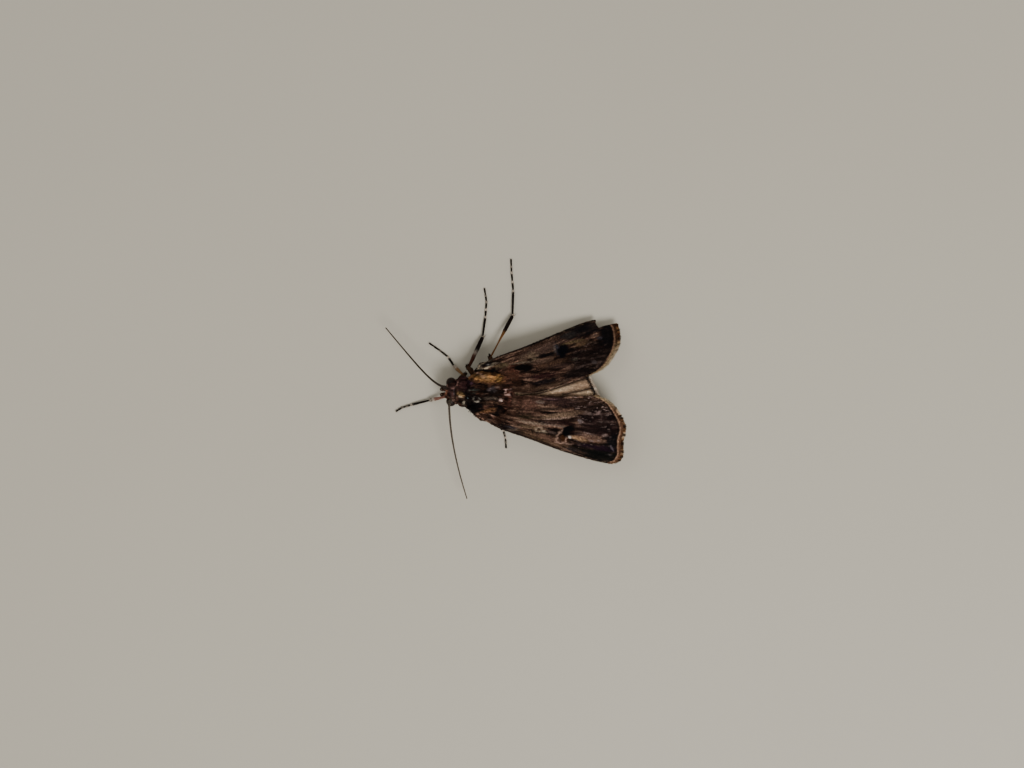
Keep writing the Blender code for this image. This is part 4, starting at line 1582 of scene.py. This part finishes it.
@dataclass
class TrunkCoat:
    """The hair-scales of the trunk, rooted in its skin and swept back over it."""

    trunk: Trunk
    flap_x: float = 1.75
    flap_low: float = 4.1
    lock_size: float = 0.75

    def region(self, part: CoatPart, middles: Array, reach: Pair) -> Array:
        """Which triangles of the skin a part of the coat grows on.

        Args:
            part: The part.
            middles: Middles of the triangles.
            reach: Where the part starts and ends.

        Returns:
            True for each triangle of the part.
        """
        x, y, z = middles.T
        on = (y > reach[0]) & (y <= reach[1]) & (self.trunk.eye_gap(middles) > 0.02)
        flap = (np.abs(x) > self.flap_x) & (z > self.flap_low) & (y > -2.2) & (y < 3.2)
        return on & {CoatPart.FLAPS: flap, CoatPart.THORAX: ~flap}.get(part, True)

    def lie(self, points: Array, normals: Array, rng: Dice) -> Array:
        """Direction of the coat: back over the body, up over the face, gathered into locks.

        Args:
            points: Roots of the hair-scales.
            normals: Normals there.
            rng: Source of the scatter.

        Returns:
            The directions.
        """
        x, _ = self.trunk.axis(points[:, 1])
        front = np.maximum(0.0, -normals[:, 1])
        sweep = np.zeros(points.shape)
        sweep[:, 1] = 1.0
        sweep[:, 2] = 1.3 * front - 0.25 * np.maximum(0.0, 1 - np.abs(normals[:, 2]))
        sweep[:, 0] = 0.12 * (points[:, 0] - x) * (1.0 - front)
        swirl = self.trunk.grain
        a, b, c = (points / self.lock_size).T
        sweep[:, 0] += 0.45 * swirl.at(a, b, c)
        sweep[:, 2] += 0.3 * swirl.at(a + 11.0, b, c)
        sweep += rng.normal(0.0, 0.16, points.shape)
        return unit(sweep - normals * np.sum(sweep * normals, axis=1, keepdims=True))

    def build(self, cut: CoatCut, finish: ScaleFinish) -> Piece:
        """Grows one part of the coat.

        Args:
            cut: How its hair-scales are set.
            finish: Their finish.

        Returns:
            The piece.
        """
        trunk, n = self.trunk, cut.count
        rng = np.random.default_rng(SEED + 20 + list(CoatPart).index(cut.part))
        corners = trunk.points[trunk.triangles]
        chosen = self.region(cut.part, corners.mean(1), cut.reach)
        corners = corners[chosen]
        shades = trunk.normals[trunk.triangles][chosen]
        areas = np.linalg.norm(np.cross(corners[:, 1] - corners[:, 0],
                                        corners[:, 2] - corners[:, 0]), axis=1)
        picks = rng.choice(len(areas), n, p=areas / areas.sum())
        weights = rng.dirichlet((1.0, 1.0, 1.0), n)[:, :, None]
        roots = (corners[picks] * weights).sum(1)
        normals = unit((shades[picks] * weights).sum(1))
        lies = self.lie(roots, normals, rng)
        rim = fade(0.34, 0.1, trunk.eye_gap(roots))[:, None]  # these stand along the eye's globe
        clear = unit(trunk.from_eye(roots))
        along = unit(normals - clear * np.sum(normals * clear, axis=1, keepdims=True))
        lies = lies * (1 - rim) + (along + 0.25 * lies) * rim
        normals = unit(normals * (1 - rim) + clear * rim)
        lies = unit(lies - normals * np.sum(lies * normals, axis=1, keepdims=True))
        front = np.maximum(0.0, -normals[:, 1])  # short and flat where they meet the wind
        lengths = (cut.length * rng.uniform(0.7, 1.25, n) * (1.0 - 0.3 * rim[:, 0])
                   * (1.0 - 0.35 * front) * (1.0 - 0.35 * fade(2.6, 1.6, roots[:, 2])))
        colour = trunk.colour(roots + lies * lengths[:, None] * 0.4) * rng.normal(1, 0.16, n)[:, None]
        x, z = trunk.axis(roots[:, 1])
        angle = np.arctan2(roots[:, 0] - x, z - roots[:, 2])
        lo, hi = roots[:, 1].min(), roots[:, 1].max()
        spots = on_unwrap((angle / math.pi + 1.0) / 2, (roots[:, 1] - lo) / (hi - lo), (0.01, 0.99))
        tufts = Tufts(roots, normals, lies, lengths, cut.width * rng.uniform(0.7, 1.25, n),
                      cut.lift * rng.uniform(0.5, 1.5, n) * (1.0 - 0.7 * rim[:, 0])
                      * (1.0 - 0.5 * front),
                      cut.curl * rng.uniform(0.6, 1.3, n),
                      colour * 0.7, colour * 1.15, spots)
        batch = Batch()
        tufts.grow(HairForm.LOCK, batch)
        return batch.piece(f"coat_{cut.part.value}", cut.slot, finish)


# ---- limbs


FOOT = 0.17  # height of the middle line of a foot over the ground


class Bone(Enum):
    """Segments of a leg; the value is its coat: scales per millimetre, length, lift in degrees."""

    HIP = (240, 0.5, 20.0)
    FEMUR = (260, 0.46, 18.0)
    TIBIA = (320, 0.36, 15.0)
    FOOT = (220, 0.22, 10.0)


@dataclass
class Leg:
    """A leg: femur, tibia with spurs, a foot of five joints that flare to their ends, and claws."""

    name: str
    joints: list[Triple]
    rings: Floats  # strength of the pale ring that ends the tibia and each foot joint
    tone: str  # colour of the first stretch of the tibia
    slim: float = 0.5  # length of that stretch, as a share of the tibia
    spur_pairs: Floats = (1.0,)  # where pairs of spurs stand on the tibia
    hip: Floats = (0.34, 0.42, 0.38, 0.26)  # radii along the segment, as in the next
    femur: Floats = (0.26, 0.36, 0.3, 0.2)
    tibia: Floats = (0.15, 0.18, 0.24, 0.2)
    foot: Pair = (0.17, 0.12)
    spine_length: float = 0.16
    spur_lengths: Pair = (0.95, 0.6)
    claw_length: float = 0.26
    bare: str = "#241610"
    dark: str = "#1a120e"
    pale: str = "#d4c4b2"
    band: float = 0.9  # strength of the pale band where the first stretch ends
    warm: str = "#5c4230"

    def bones(self) -> list[tuple[Array, Array, Floats, Bone]]:
        """The leg's segments, from the body out, as (start, end, radii, kind).

        Returns:
            One tuple for each segment.
        """
        p = [np.array(q, float) for q in self.joints]
        middle = (p[4] + p[5]) / 2
        last = (p[5] + p[6]) / 2
        wide, fine = self.foot
        foot = [(p[3], p[4]), (p[4], middle), (middle, p[5]), (p[5], last), (last, p[6])]
        out = [(p[0], p[1], self.hip, Bone.HIP), (p[1], p[2], self.femur, Bone.FEMUR),
               (p[2], p[3], self.tibia, Bone.TIBIA)]
        for i, (a, b) in enumerate(foot):
            r = wide + (fine - wide) * i / 4
            out.append((a, b, (r * 0.72, r * 0.85, r * 0.95, r * 1.1), Bone.FOOT))
        return out

    @staticmethod
    def girth(radii: Floats, t: Array) -> Array:
        """Radius of a segment at each share of its length, rounded in at its ends."""
        smooth = through([(r,) for r in radii], t)[:, 0]
        return smooth * np.sqrt(np.clip(1.0 - (2 * t - 1) ** 12, 0.15, 1.0))

    def add_to(self, batch: Batch, slot: int) -> None:
        """Adds the leg's bare parts to the skin.

        Args:
            batch: The skin.
            slot: Number of the cuticle's material.
        """
        for index, (a, b, radii, kind) in enumerate(self.bones()):
            t = np.linspace(0.0, 1.0, 14)
            points, faces = tube(a + (b - a) * t[:, None], self.girth(radii, t), 12)
            reach = float(np.linalg.norm(b - a))
            marks = self.shade(kind, t, t * 0.0 + 1.2, reach, self.rings[max(0, index - 2)]) * 0.7
            batch.add(points, faces, ringed(marks, 12), None, slot)
            for spine in self.spines(a, b, radii[-1]) if kind is Bone.FOOT else ():
                batch.add(*spine, linear(self.bare), None, slot)
        for spur in self.spurs():
            batch.add(*spur, linear(self.bare), None, slot)
        self.add_claws(batch, slot)

    def spines(self, a: Array, b: Array, radius: float) -> list[Form]:
        """The short spines under one joint of the foot.

        Args:
            a: Start of the joint.
            b: End of the joint.
            radius: Radius of the joint.

        Returns:
            Points and faces of each.
        """
        way = (b - a) / max(np.linalg.norm(b - a), 1e-6)
        side = unit(np.cross(way, UP))
        made = []
        for share in (0.35, 0.65, 0.95):
            for hand in (-1, 1):
                root = a + (b - a) * share + side * hand * radius * 0.7
                tip = root + way * self.spine_length + side * hand * 0.05
                tip = tip - np.array([0, 0, radius * 0.9])
                tip[2] = max(tip[2], 0.01)
                made.append(thorn(root, tip, 0.025))
        return made

    def spurs(self) -> list[Form]:
        """The tibia's pairs of spurs, one long and one short.

        Returns:
            Points and faces of each.
        """
        a, b = (np.array(self.joints[k], float) for k in (2, 3))
        way = unit(b - a)
        side = unit(np.cross(way, UP))
        made = []
        for share in self.spur_pairs:
            root = a + (b - a) * (share - 0.03)
            for hand, length in zip((1, -1), self.spur_lengths):
                tip = root + way * length + side * hand * 0.3 - np.array([0, 0, 0.22])
                tip[2] = max(tip[2], 0.06)
                made.append(thorn(root + side * hand * 0.1, tip, 0.06, side * hand * 0.06))
        return made

    def add_claws(self, batch: Batch, slot: int) -> None:
        """Adds the two hooked claws and the pad between them.

        Args:
            batch: The skin.
            slot: Number of the material.
        """
        a, b = (np.array(self.joints[k], float) for k in (5, 6))
        way = unit(b - a)
        side = unit(np.cross(way, UP))
        for hand in (-1, 1):
            tip = b + way * self.claw_length + side * hand * 0.16
            tip[2] = 0.02
            claw = thorn(b + side * hand * 0.05, tip, 0.04, np.array([0, 0, 0.09]))
            batch.add(*claw, linear(self.bare), None, slot)
        pad = b + way * 0.1
        pad[2] = 0.08
        batch.add(*superellipsoid(tuple(pad), (0.07, 0.09, 0.06), rings=8), linear(self.warm),
                  None, slot)

    def shade(self, kind: Bone, t: Array, angle: Array, reach: float, ring: float) -> Array:
        """Colours of the leg's scales: dark, with a pale ring at the end of each joint.

        Args:
            kind: Kind of the segment.
            t: Places along it.
            angle: Places round it, 0 on top.
            reach: Its length.
            ring: Strength of its pale ring.

        Returns:
            Linear RGB at each place.
        """
        if kind in (Bone.HIP, Bone.FEMUR):
            return mix(self.dark, self.warm, 0.5 + 0.4 * np.cos(angle))
        if kind is Bone.FOOT:
            return mix(self.dark, self.pale, fade(1 - 0.4 / reach, 1 - 0.26 / reach, t) * ring)
        colour = mix(self.dark, self.tone, fade(self.slim + 0.05, self.slim - 0.05, t) * 0.9)
        end = fade(1.0 - 0.34 / reach, 1.0 - 0.2 / reach, t) * ring
        band = np.exp(-((t - self.slim) / 0.06) ** 2) * self.band
        return mix(colour, self.pale, np.maximum(end, band))

    def add_coat(self, batch: Batch, rng: Dice, band: Pair) -> None:
        """Adds the leg's scales to a coat.

        Args:
            batch: The coat.
            rng: Source of the scatter.
            band: Strip of the unwrap that this leg takes, from and to.
        """
        bones = self.bones()
        for index, (a, b, radii, kind) in enumerate(bones):
            dense, length, lift = kind.value
            reach = float(np.linalg.norm(b - a))
            n = int(dense * reach) + 20
            t = rng.random(n)
            angle = rng.uniform(-math.pi, math.pi, n)
            way = unit(b - a)
            normals = around(way, angle)
            roots = a + (b - a) * t[:, None] + normals * self.girth(radii, t)[:, None] * 0.95
            lengths = length * rng.uniform(0.7, 1.3, n)
            if kind is Bone.TIBIA:
                lengths = lengths * (0.6 + 0.5 * fade(self.slim - 0.05, self.slim + 0.1, t))
            if kind in (Bone.HIP, Bone.FEMUR):  # longer below
                lengths = lengths * (1.0 + 0.5 * np.maximum(0.0, -np.cos(angle)))
            lies = unit(way + np.cross(normals, way) * rng.normal(0.0, 0.14, n)[:, None])
            ring = self.rings[max(0, index - 2)]
            colour = self.shade(kind, t, angle, reach, ring) * rng.normal(1.0, 0.15, n)[:, None]
            spots = on_unwrap((index + t) / len(bones), 0.1 + 0.8 * (angle / math.pi + 1) / 2, band)
            tufts = Tufts(roots, normals, lies, lengths, lengths * 0.26, np.full(n, lift),
                          np.full(n, 0.12), colour * 0.8, colour * 1.1, spots)
            clear = (roots + lies * lengths[:, None])[:, 2] > 0.02  # of the ground
            tufts.only(clear).grow(HairForm.BRISTLE, batch)


HIND_LEG = {"rings": (1.0, 1.0, 1.0, 0.8, 0.5, 0.0), "tone": "#7c5430", "slim": 0.6, "band": 0.0,
            "spur_pairs": (0.62, 1.0), "tibia": (0.11, 0.09, 0.23, 0.2)}
LEGS = (
    Leg("leg_fore_right", [(-0.9, -3.0, 1.3), (-1.1, -4.3, 0.95), (-2.75, -2.95, 1.75),
                           (-4.05, -4.4, 0.5), (-5.62, -5.43, FOOT), (-6.6, -6.7, FOOT),
                           (-7.62, -8.18, FOOT)],
        rings=(1.0, 1.0, 0.1, 0.25, 0.0, 0.0), tone="#987450", slim=0.8, spur_pairs=()),
    Leg("leg_fore_left", [(0.9, -2.7, 1.3), (1.0, -3.6, 0.95), (0.45, -5.5, 1.35),
                          (1.0, -8.0, 0.5), (1.78, -11.1, FOOT), (2.2, -12.5, FOOT),
                          (2.7, -13.3, FOOT)],
        rings=(0.6, 0.7, 0.3, 0.3, 0.0, 0.0), tone="#96685a", slim=0.8, spur_pairs=()),
    Leg("leg_mid_right", [(-1.0, -1.2, 1.0), (-1.9, -0.6, 0.85), (-3.9, -2.2, 2.5),
                          (-8.6, -0.1, 0.5), (-11.8, 0.33, FOOT), (-14.1, 0.5, FOOT),
                          (-16.0, 0.2, FOOT)],
        rings=(1.0, 1.0, 1.0, 0.5, 0.3, 0.0), tone="#4c2618", slim=0.45, band=0.45,
        tibia=(0.2, 0.27, 0.26, 0.2)),
    Leg("leg_mid_left", [(1.0, -0.8, 1.0), (1.75, -0.4, 0.85), (3.35, 0.0, 2.5),
                         (4.1, 1.5, 0.65), (5.75, 3.1, FOOT), (6.9, 3.42, FOOT),
                         (8.25, 3.5, FOOT)],
        rings=(0.6, 1.0, 0.3, 1.0, 0.3, 0.0), tone="#4a3426"),
    Leg("leg_hind_right", [(-1.0, 1.2, 1.0), (-1.9, 1.8, 0.85), (-5.4, 1.1, 2.5),
                           (-11.9, 4.5, 0.5), (-15.8, 4.6, FOOT), (-18.6, 4.35, FOOT),
                           (-20.46, 4.27, FOOT)],
        **HIND_LEG),
    Leg("leg_hind_left", [(1.0, 1.5, 1.0), (1.9, 2.2, 0.85), (5.0, 3.6, 2.3),
                          (5.6, 9.6, 0.5), (6.3, 12.6, FOOT), (6.7, 14.7, FOOT),
                          (6.9, 16.0, FOOT)],
        **HIND_LEG),
)


@dataclass
class Feeler:
    """A thread-like feeler of many short rings on a thicker first joint."""

    side: Side
    base: Triple
    start: float  # heading off straight ahead, degrees
    end: float
    ease: float
    rise: float
    drop: float
    length: float
    annuli: int = 64
    scales: int = 2600
    radii: Pair = (0.17, 0.085)
    tone: str = "#3a3028"
    tip_tone: str = "#5a5248"
    # painted glint: the share of paler scales on each ring of the feeler
    ring_glint: float = 0.5  # strength of the paler scales on each ring

    def line(self, count: int) -> Array:
        """Points along the feeler, whose heading eases from one angle to another.

        Args:
            count: How many.

        Returns:
            The points.
        """
        t = np.linspace(0.0, 1.0, count)
        step = self.length / (count - 1)
        eased = 1.0 - np.exp(-np.maximum(t - 0.5 / count, 0.0) / self.ease)
        heading = np.radians(self.start + (self.end - self.start) * eased)
        x = self.base[0] + np.concatenate([[0.0], np.cumsum(np.sin(heading[1:]) * step)])
        y = self.base[1] - np.concatenate([[0.0], np.cumsum(np.cos(heading[1:]) * step)])
        z = self.base[2] + self.rise * np.sin(math.pi * t ** 0.7) - self.drop * t
        dip = np.maximum(0.0, 1.0 - t / 0.035) ** 2  # the first joint rises out of the brow
        return np.stack([x - self.side.value * 0.3 * dip, y + 0.3 * dip, z - 0.75 * dip], -1)

    def radius(self, t: Array) -> Array:
        """Radius along the feeler: a thick first joint, then a taper."""
        thin = self.radii[0] + (self.radii[1] - self.radii[0]) * t ** 0.8
        return thin + 0.1 * np.exp(-((t - 0.022) / 0.014) ** 2)

    def add_to(self, batch: Batch, slot: int) -> None:
        """Adds the bare feeler to the skin.

        Args:
            batch: The skin.
            slot: Number of the material.
        """
        per = 5
        count = self.annuli * per
        t = np.linspace(0.0, 1.0, count)
        bulge = 0.82 + 0.22 * np.sin(math.pi * ((np.arange(count) % per) + 0.5) / per)
        points, faces = tube(self.line(count), self.radius(t) * bulge, 10)
        batch.add(points, faces, ringed(mix(self.tone, self.tip_tone, t), 10), None, slot)

    def add_coat(self, batch: Batch, rng: Dice, band: Pair) -> None:
        """Adds the tiny scales of the upper side.

        Args:
            batch: The coat.
            rng: Source of the scatter.
            band: Strip of the unwrap that this feeler takes, from and to.
        """
        n = self.scales
        t = np.sort(rng.uniform(0.0, 0.99, n))
        line = self.line(400)
        index = (t * 399).astype(int)
        way = unit(np.gradient(line, axis=0))[index]
        angle = rng.uniform(-2.2, 2.2, n)
        normals = around(way, angle)
        roots = line[index] + normals * (self.radius(t) * 0.9)[:, None]
        brow = np.exp(-t / 0.025)
        lengths = (0.2 - 0.1 * t + 0.16 * brow) * rng.uniform(0.7, 1.2, n)
        # painted glints: paler scales on each ring
        ring = 0.5 + 0.5 * np.cos(t * self.annuli * 2 * math.pi)
        colour = mix(mix(self.tone, "#8a7c6c", ring * self.ring_glint),
                     self.tip_tone, t * 0.5) * rng.normal(1.0, 0.14, n)[:, None]
        spots = on_unwrap(t, 0.5 + angle / 5.0, band)
        tufts = Tufts(roots, normals, way, lengths, lengths * 0.35, 9.0 + 12.0 * brow,
                      np.full(n, 0.1), colour * 0.8, colour * 1.1, spots)
        tufts.grow(HairForm.BRISTLE, batch)


FEELERS = (
    Feeler(Side.LEFT, (1.05, -5.03, 5.0), 90.0, 115.0, 0.9, 0.9, 2.2, 13.4 * 1.135),
    Feeler(Side.RIGHT, (-0.9, -5.4, 4.97), -8.0, -49.5, 0.13, 0.9, 1.9, 13.4 * 0.985,
           tone="#241914", tip_tone="#443a32", ring_glint=0.2),
)


@dataclass
class Palp:
    """A short three-jointed palp that curves up in front of the face, furred below."""

    side: Side
    head_x: float = -0.25
    path: tuple = ((0.3, -5.4, 2.45), (0.37, -5.95, 2.65), (0.42, -6.2, 3.1), (0.38, -6.25, 3.55))
    radii: tuple = (0.16, 0.22, 0.24, 0.1)
    tone: str = "#38261e"
    hairs: int = 1100

    def line(self, t: Array) -> Array:
        """Points along the palp."""
        path = [(self.head_x + self.side.value * x, y, z) for x, y, z in self.path]
        return through(path, t)

    def add_to(self, batch: Batch, slot: int) -> None:
        """Adds the bare palp to the skin.

        Args:
            batch: The skin.
            slot: Number of the material.
        """
        t = np.linspace(0.0, 1.0, 22)
        radii = through([(r,) for r in self.radii], t)[:, 0]
        batch.add(*tube(self.line(t), radii, 14), ringed(self.shade(t) * 0.7, 14), None, slot)

    def shade(self, t: Array) -> Array:
        """Linear RGB along the palp."""
        tone = mix("#7c5a4a", self.tone, fade(0.2, 0.7, t))
        return mix(tone, "#8a7460", fade(0.9, 0.99, t) * 0.5)

    def add_coat(self, batch: Batch, rng: Dice, band: Pair) -> None:
        """Adds its fur.

        Args:
            batch: The coat.
            rng: Source of the scatter.
            band: Strip of the unwrap that this palp takes, from and to.
        """
        n = self.hairs
        t = rng.random(n)
        angle = rng.uniform(-math.pi, math.pi, n)
        line = self.line(np.linspace(0.0, 1.0, 200))
        index = (t * 199).astype(int)
        way = unit(np.gradient(line, axis=0))[index]
        side = np.broadcast_to([1.0, 0.0, 0.0], way.shape)
        over = unit(np.cross(side, way))
        side = np.cross(way, over)
        normals = side * np.sin(angle)[:, None] + over * np.cos(angle)[:, None]
        radii = through([(r,) for r in self.radii], t)[:, 0]
        roots = line[index] + normals * radii[:, None] * 0.9
        lengths = (0.34 - 0.16 * t) * rng.uniform(0.7, 1.2, n)
        colour = self.shade(t) * rng.normal(1.0, 0.15, n)[:, None]
        spots = on_unwrap(t, (angle / math.pi + 1) / 2, band)
        closing = fade(0.8, 1.0, t)  # the hairs of the tip close over it
        tufts = Tufts(roots, normals, way, lengths, lengths * 0.3, 22.0 * (1.0 - closing),
                      0.15 + 0.45 * closing, colour * 0.8, colour * 1.15, spots)
        tufts.grow(HairForm.LOCK, batch)


PALPS = (Palp(Side.LEFT), Palp(Side.RIGHT))


@dataclass
class Skin:
    """The one skin of the animal: trunk, palps, feelers and legs, under their coats."""

    trunk: Trunk
    nodes: tuple[str, ...] = ("head", "collar", "thorax", "abdomen", "tegula_left",
                              "tegula_right", "palp_left", "palp_right", "antenna_left",
                              "antenna_right")

    def build(self, body: CuticleFinish, limb: CuticleFinish, feeler: CuticleFinish) -> Piece:
        """Builds the skin.

        Args:
            body: Finish of the trunk.
            limb: Finish of the legs and palps.
            feeler: Finish of the feelers.

        Returns:
            The piece.
        """
        batch = Batch()
        self.trunk.shape()
        self.trunk.add_to(batch, 0)
        for part in (*PALPS, *LEGS):
            part.add_to(batch, 1)
        for part in FEELERS:
            part.add_to(batch, 2)
        nodes = self.nodes + tuple(leg.name for leg in LEGS)
        return batch.piece("moth_skin", "body_fur", body, limb, feeler, replaced=nodes)


class LimbCoats:
    """Coats of the legs, the feelers and the palps."""

    def build(self, finish: ScaleFinish, fine: ScaleFinish) -> list[Piece]:
        """Builds the coats.

        Args:
            finish: Finish of the legs' and palps' scales.
            fine: Finish of the feelers' scales.

        Returns:
            The pieces.
        """
        made = []
        for side in Side:
            rng = np.random.default_rng(SEED + 40 + side.value)
            batch = Batch()
            legs = [leg for leg in LEGS if leg.name.endswith(side.word)]
            for k, leg in enumerate(legs):
                leg.add_coat(batch, rng, (0.02 + 0.32 * k, 0.32 + 0.32 * k))
            made.append(batch.piece(f"coat_legs_{side.word}", "leg_scales", finish))
        rng = np.random.default_rng(SEED + 50)
        for parts, name, slot, surface in ((FEELERS, "coat_feelers", "feeler", fine),
                                           (PALPS, "coat_palps", "head_fur", finish)):
            batch = Batch()
            for k, part in enumerate(parts):
                part.add_coat(batch, rng, (0.03 + 0.48 * k, 0.47 + 0.48 * k))
            made.append(batch.piece(name, slot, surface))
        return made


@dataclass
class Eye:
    """A compound eye: a smooth globe set in the side of the head."""

    side: Side
    trunk: Trunk
    rings: int = 40

    def build(self, finish: FacetFinish) -> Piece:
        """Builds the globe.

        Args:
            finish: Finish of its cornea.

        Returns:
            The piece.
        """
        trunk = self.trunk
        centre = (trunk.head_x + self.side.value * trunk.eye_spread, *trunk.eye_centre)
        points, faces = superellipsoid(centre, (trunk.eye_radius,) * 3, self.rings, 2.0)
        batch = Batch()
        batch.add(points, faces, linear("#1c1210"))
        return batch.piece(f"compound_eye_{self.side.word}", "eye", finish,
                           replaced=(f"eye_{self.side.word}",))


# ---- studio


@dataclass(frozen=True)
class Studio:
    """Plain pale floor, soft light from above and a camera that looks straight down."""

    floor_size: float = 6.0
    camera_at: Triple = (0.76, 1.07, 218.7)  # millimetres, in the frame
    lens: float = 50.0
    sky: str = "#f4f2ec"
    sky_strength: float = 0.5
    key_power: float = 1.9
    key_size: float = 0.22
    key_at: Triple = (0.24, 0.14, 0.4)
    fill_power: float = 0.3
    fill_size: float = 0.4
    fill_at: Triple = (-0.2, -0.3, 0.4)

    def floor(self) -> None:
        """Lays the floor."""
        half = self.floor_size / 2
        mesh = bpy.data.meshes.new("floor")
        corners = [(x * half, y * half, 0.0) for x, y in ((-1, -1), (1, -1), (1, 1), (-1, 1))]
        mesh.from_pydata(corners, [], [(0, 1, 2, 3)])
        mesh.materials.append(PaintedFloorFinish().material())
        show("floor", mesh)

    def lamp(self, name: str, at: Triple, size: float, power: float) -> None:
        """Hangs a soft lamp that faces the moth.

        Args:
            name: Its name.
            at: Where it hangs, in metres.
            size: Its width.
            power: Its power in watts.
        """
        light = bpy.data.lights.new(name, "AREA")
        light.shape = "DISK"
        light.size = size
        light.energy = power
        lamp = show(name, light)
        lamp.location = at
        lamp.rotation_mode = "QUATERNION"
        lamp.rotation_quaternion = (-Vector(at)).to_track_quat("-Z", "Y")

    def camera(self) -> None:
        """Sets the camera, whose right is the tail end and whose top is the moth's right side."""
        data = bpy.data.cameras.new("camera")
        data.lens = self.lens
        data.sensor_width = 36.0
        data.clip_start = 0.002
        camera = show("camera", data)
        camera.location = [a * MM for a in self.camera_at]
        camera.rotation_euler = (0.0, 0.0, math.pi / 2)
        bpy.context.scene.camera = camera

    def build(self) -> None:
        """Sets up the studio."""
        self.floor()
        self.lamp("key", self.key_at, self.key_size, self.key_power)
        self.lamp("fill", self.fill_at, self.fill_size, self.fill_power)
        world = bpy.data.worlds.new("studio")
        world.use_nodes = True
        ground = world.node_tree.nodes["Background"]
        ground.inputs["Color"].default_value = (*linear(self.sky), 1.0)
        ground.inputs["Strength"].default_value = self.sky_strength
        bpy.context.scene.world = world
        self.camera()


def main() -> None:
    """Builds the moth and its studio, part by part."""
    logging.basicConfig(level=logging.INFO, format="%(name)s %(message)s")
    Studio().build()
    trunk = Trunk()
    Skin(trunk).build(
        CuticleFinish("body_cuticle", roughness=(0.5, 0.75)),
        CuticleFinish("leg_cuticle", fold_size=0.25),
        CuticleFinish("feeler_cuticle", pit_size=0.03, fold_size=0.15))
    for side in Side:
        Eye(side, trunk).build(FacetFinish(f"compound_eye_cornea_{side.word}"))
    coat = TrunkCoat(trunk)
    fur = ScaleFinish("body_hair_scales", mottle_size=0.12)
    for cut in COAT_CUTS:
        coat.build(cut, fur)
    LimbCoats().build(ScaleFinish("leg_scales", mottle_size=0.1),
                      ScaleFinish("feeler_scales", mottle_size=0.06))
    membrane = ScaleFinish("wing_membrane", rib_size=0.06, rib_depth=0.01)
    scales = ScaleFinish("wing_scales")
    pale = ScaleFinish("hindwing_scales", specular=0.3, mottle=0.12)
    for side, plan, tilt, tear in ((Side.LEFT, LEFT_FOREWING, 10.0, ()),
                                   (Side.RIGHT, RIGHT_FOREWING, 24.0, TEAR)):
        Wing(side, plan, tilt, FOREWING_VEINS, "forewing_scales", tear=tear,
             seed=SEED + 60 + side.value * 5).build(membrane, scales)
    for side, plan, tilt in ((Side.LEFT, LEFT_HINDWING, 10.0), (Side.RIGHT, RIGHT_HINDWING, 24.0)):
        Wing(side, plan, tilt, HINDWING_VEINS, "hindwing_scales", kind=WingKind.HIND, drop=0.62,
             camber=0.0, steps=(110, 60), pitch=0.17, under_pitch=0.24, fringe_length=0.6,
             fringe_count=450, fringe_first=0.947, seed=SEED + 80 + side.value * 5).build(membrane, pale)


if __name__ == "__main__":
    main()
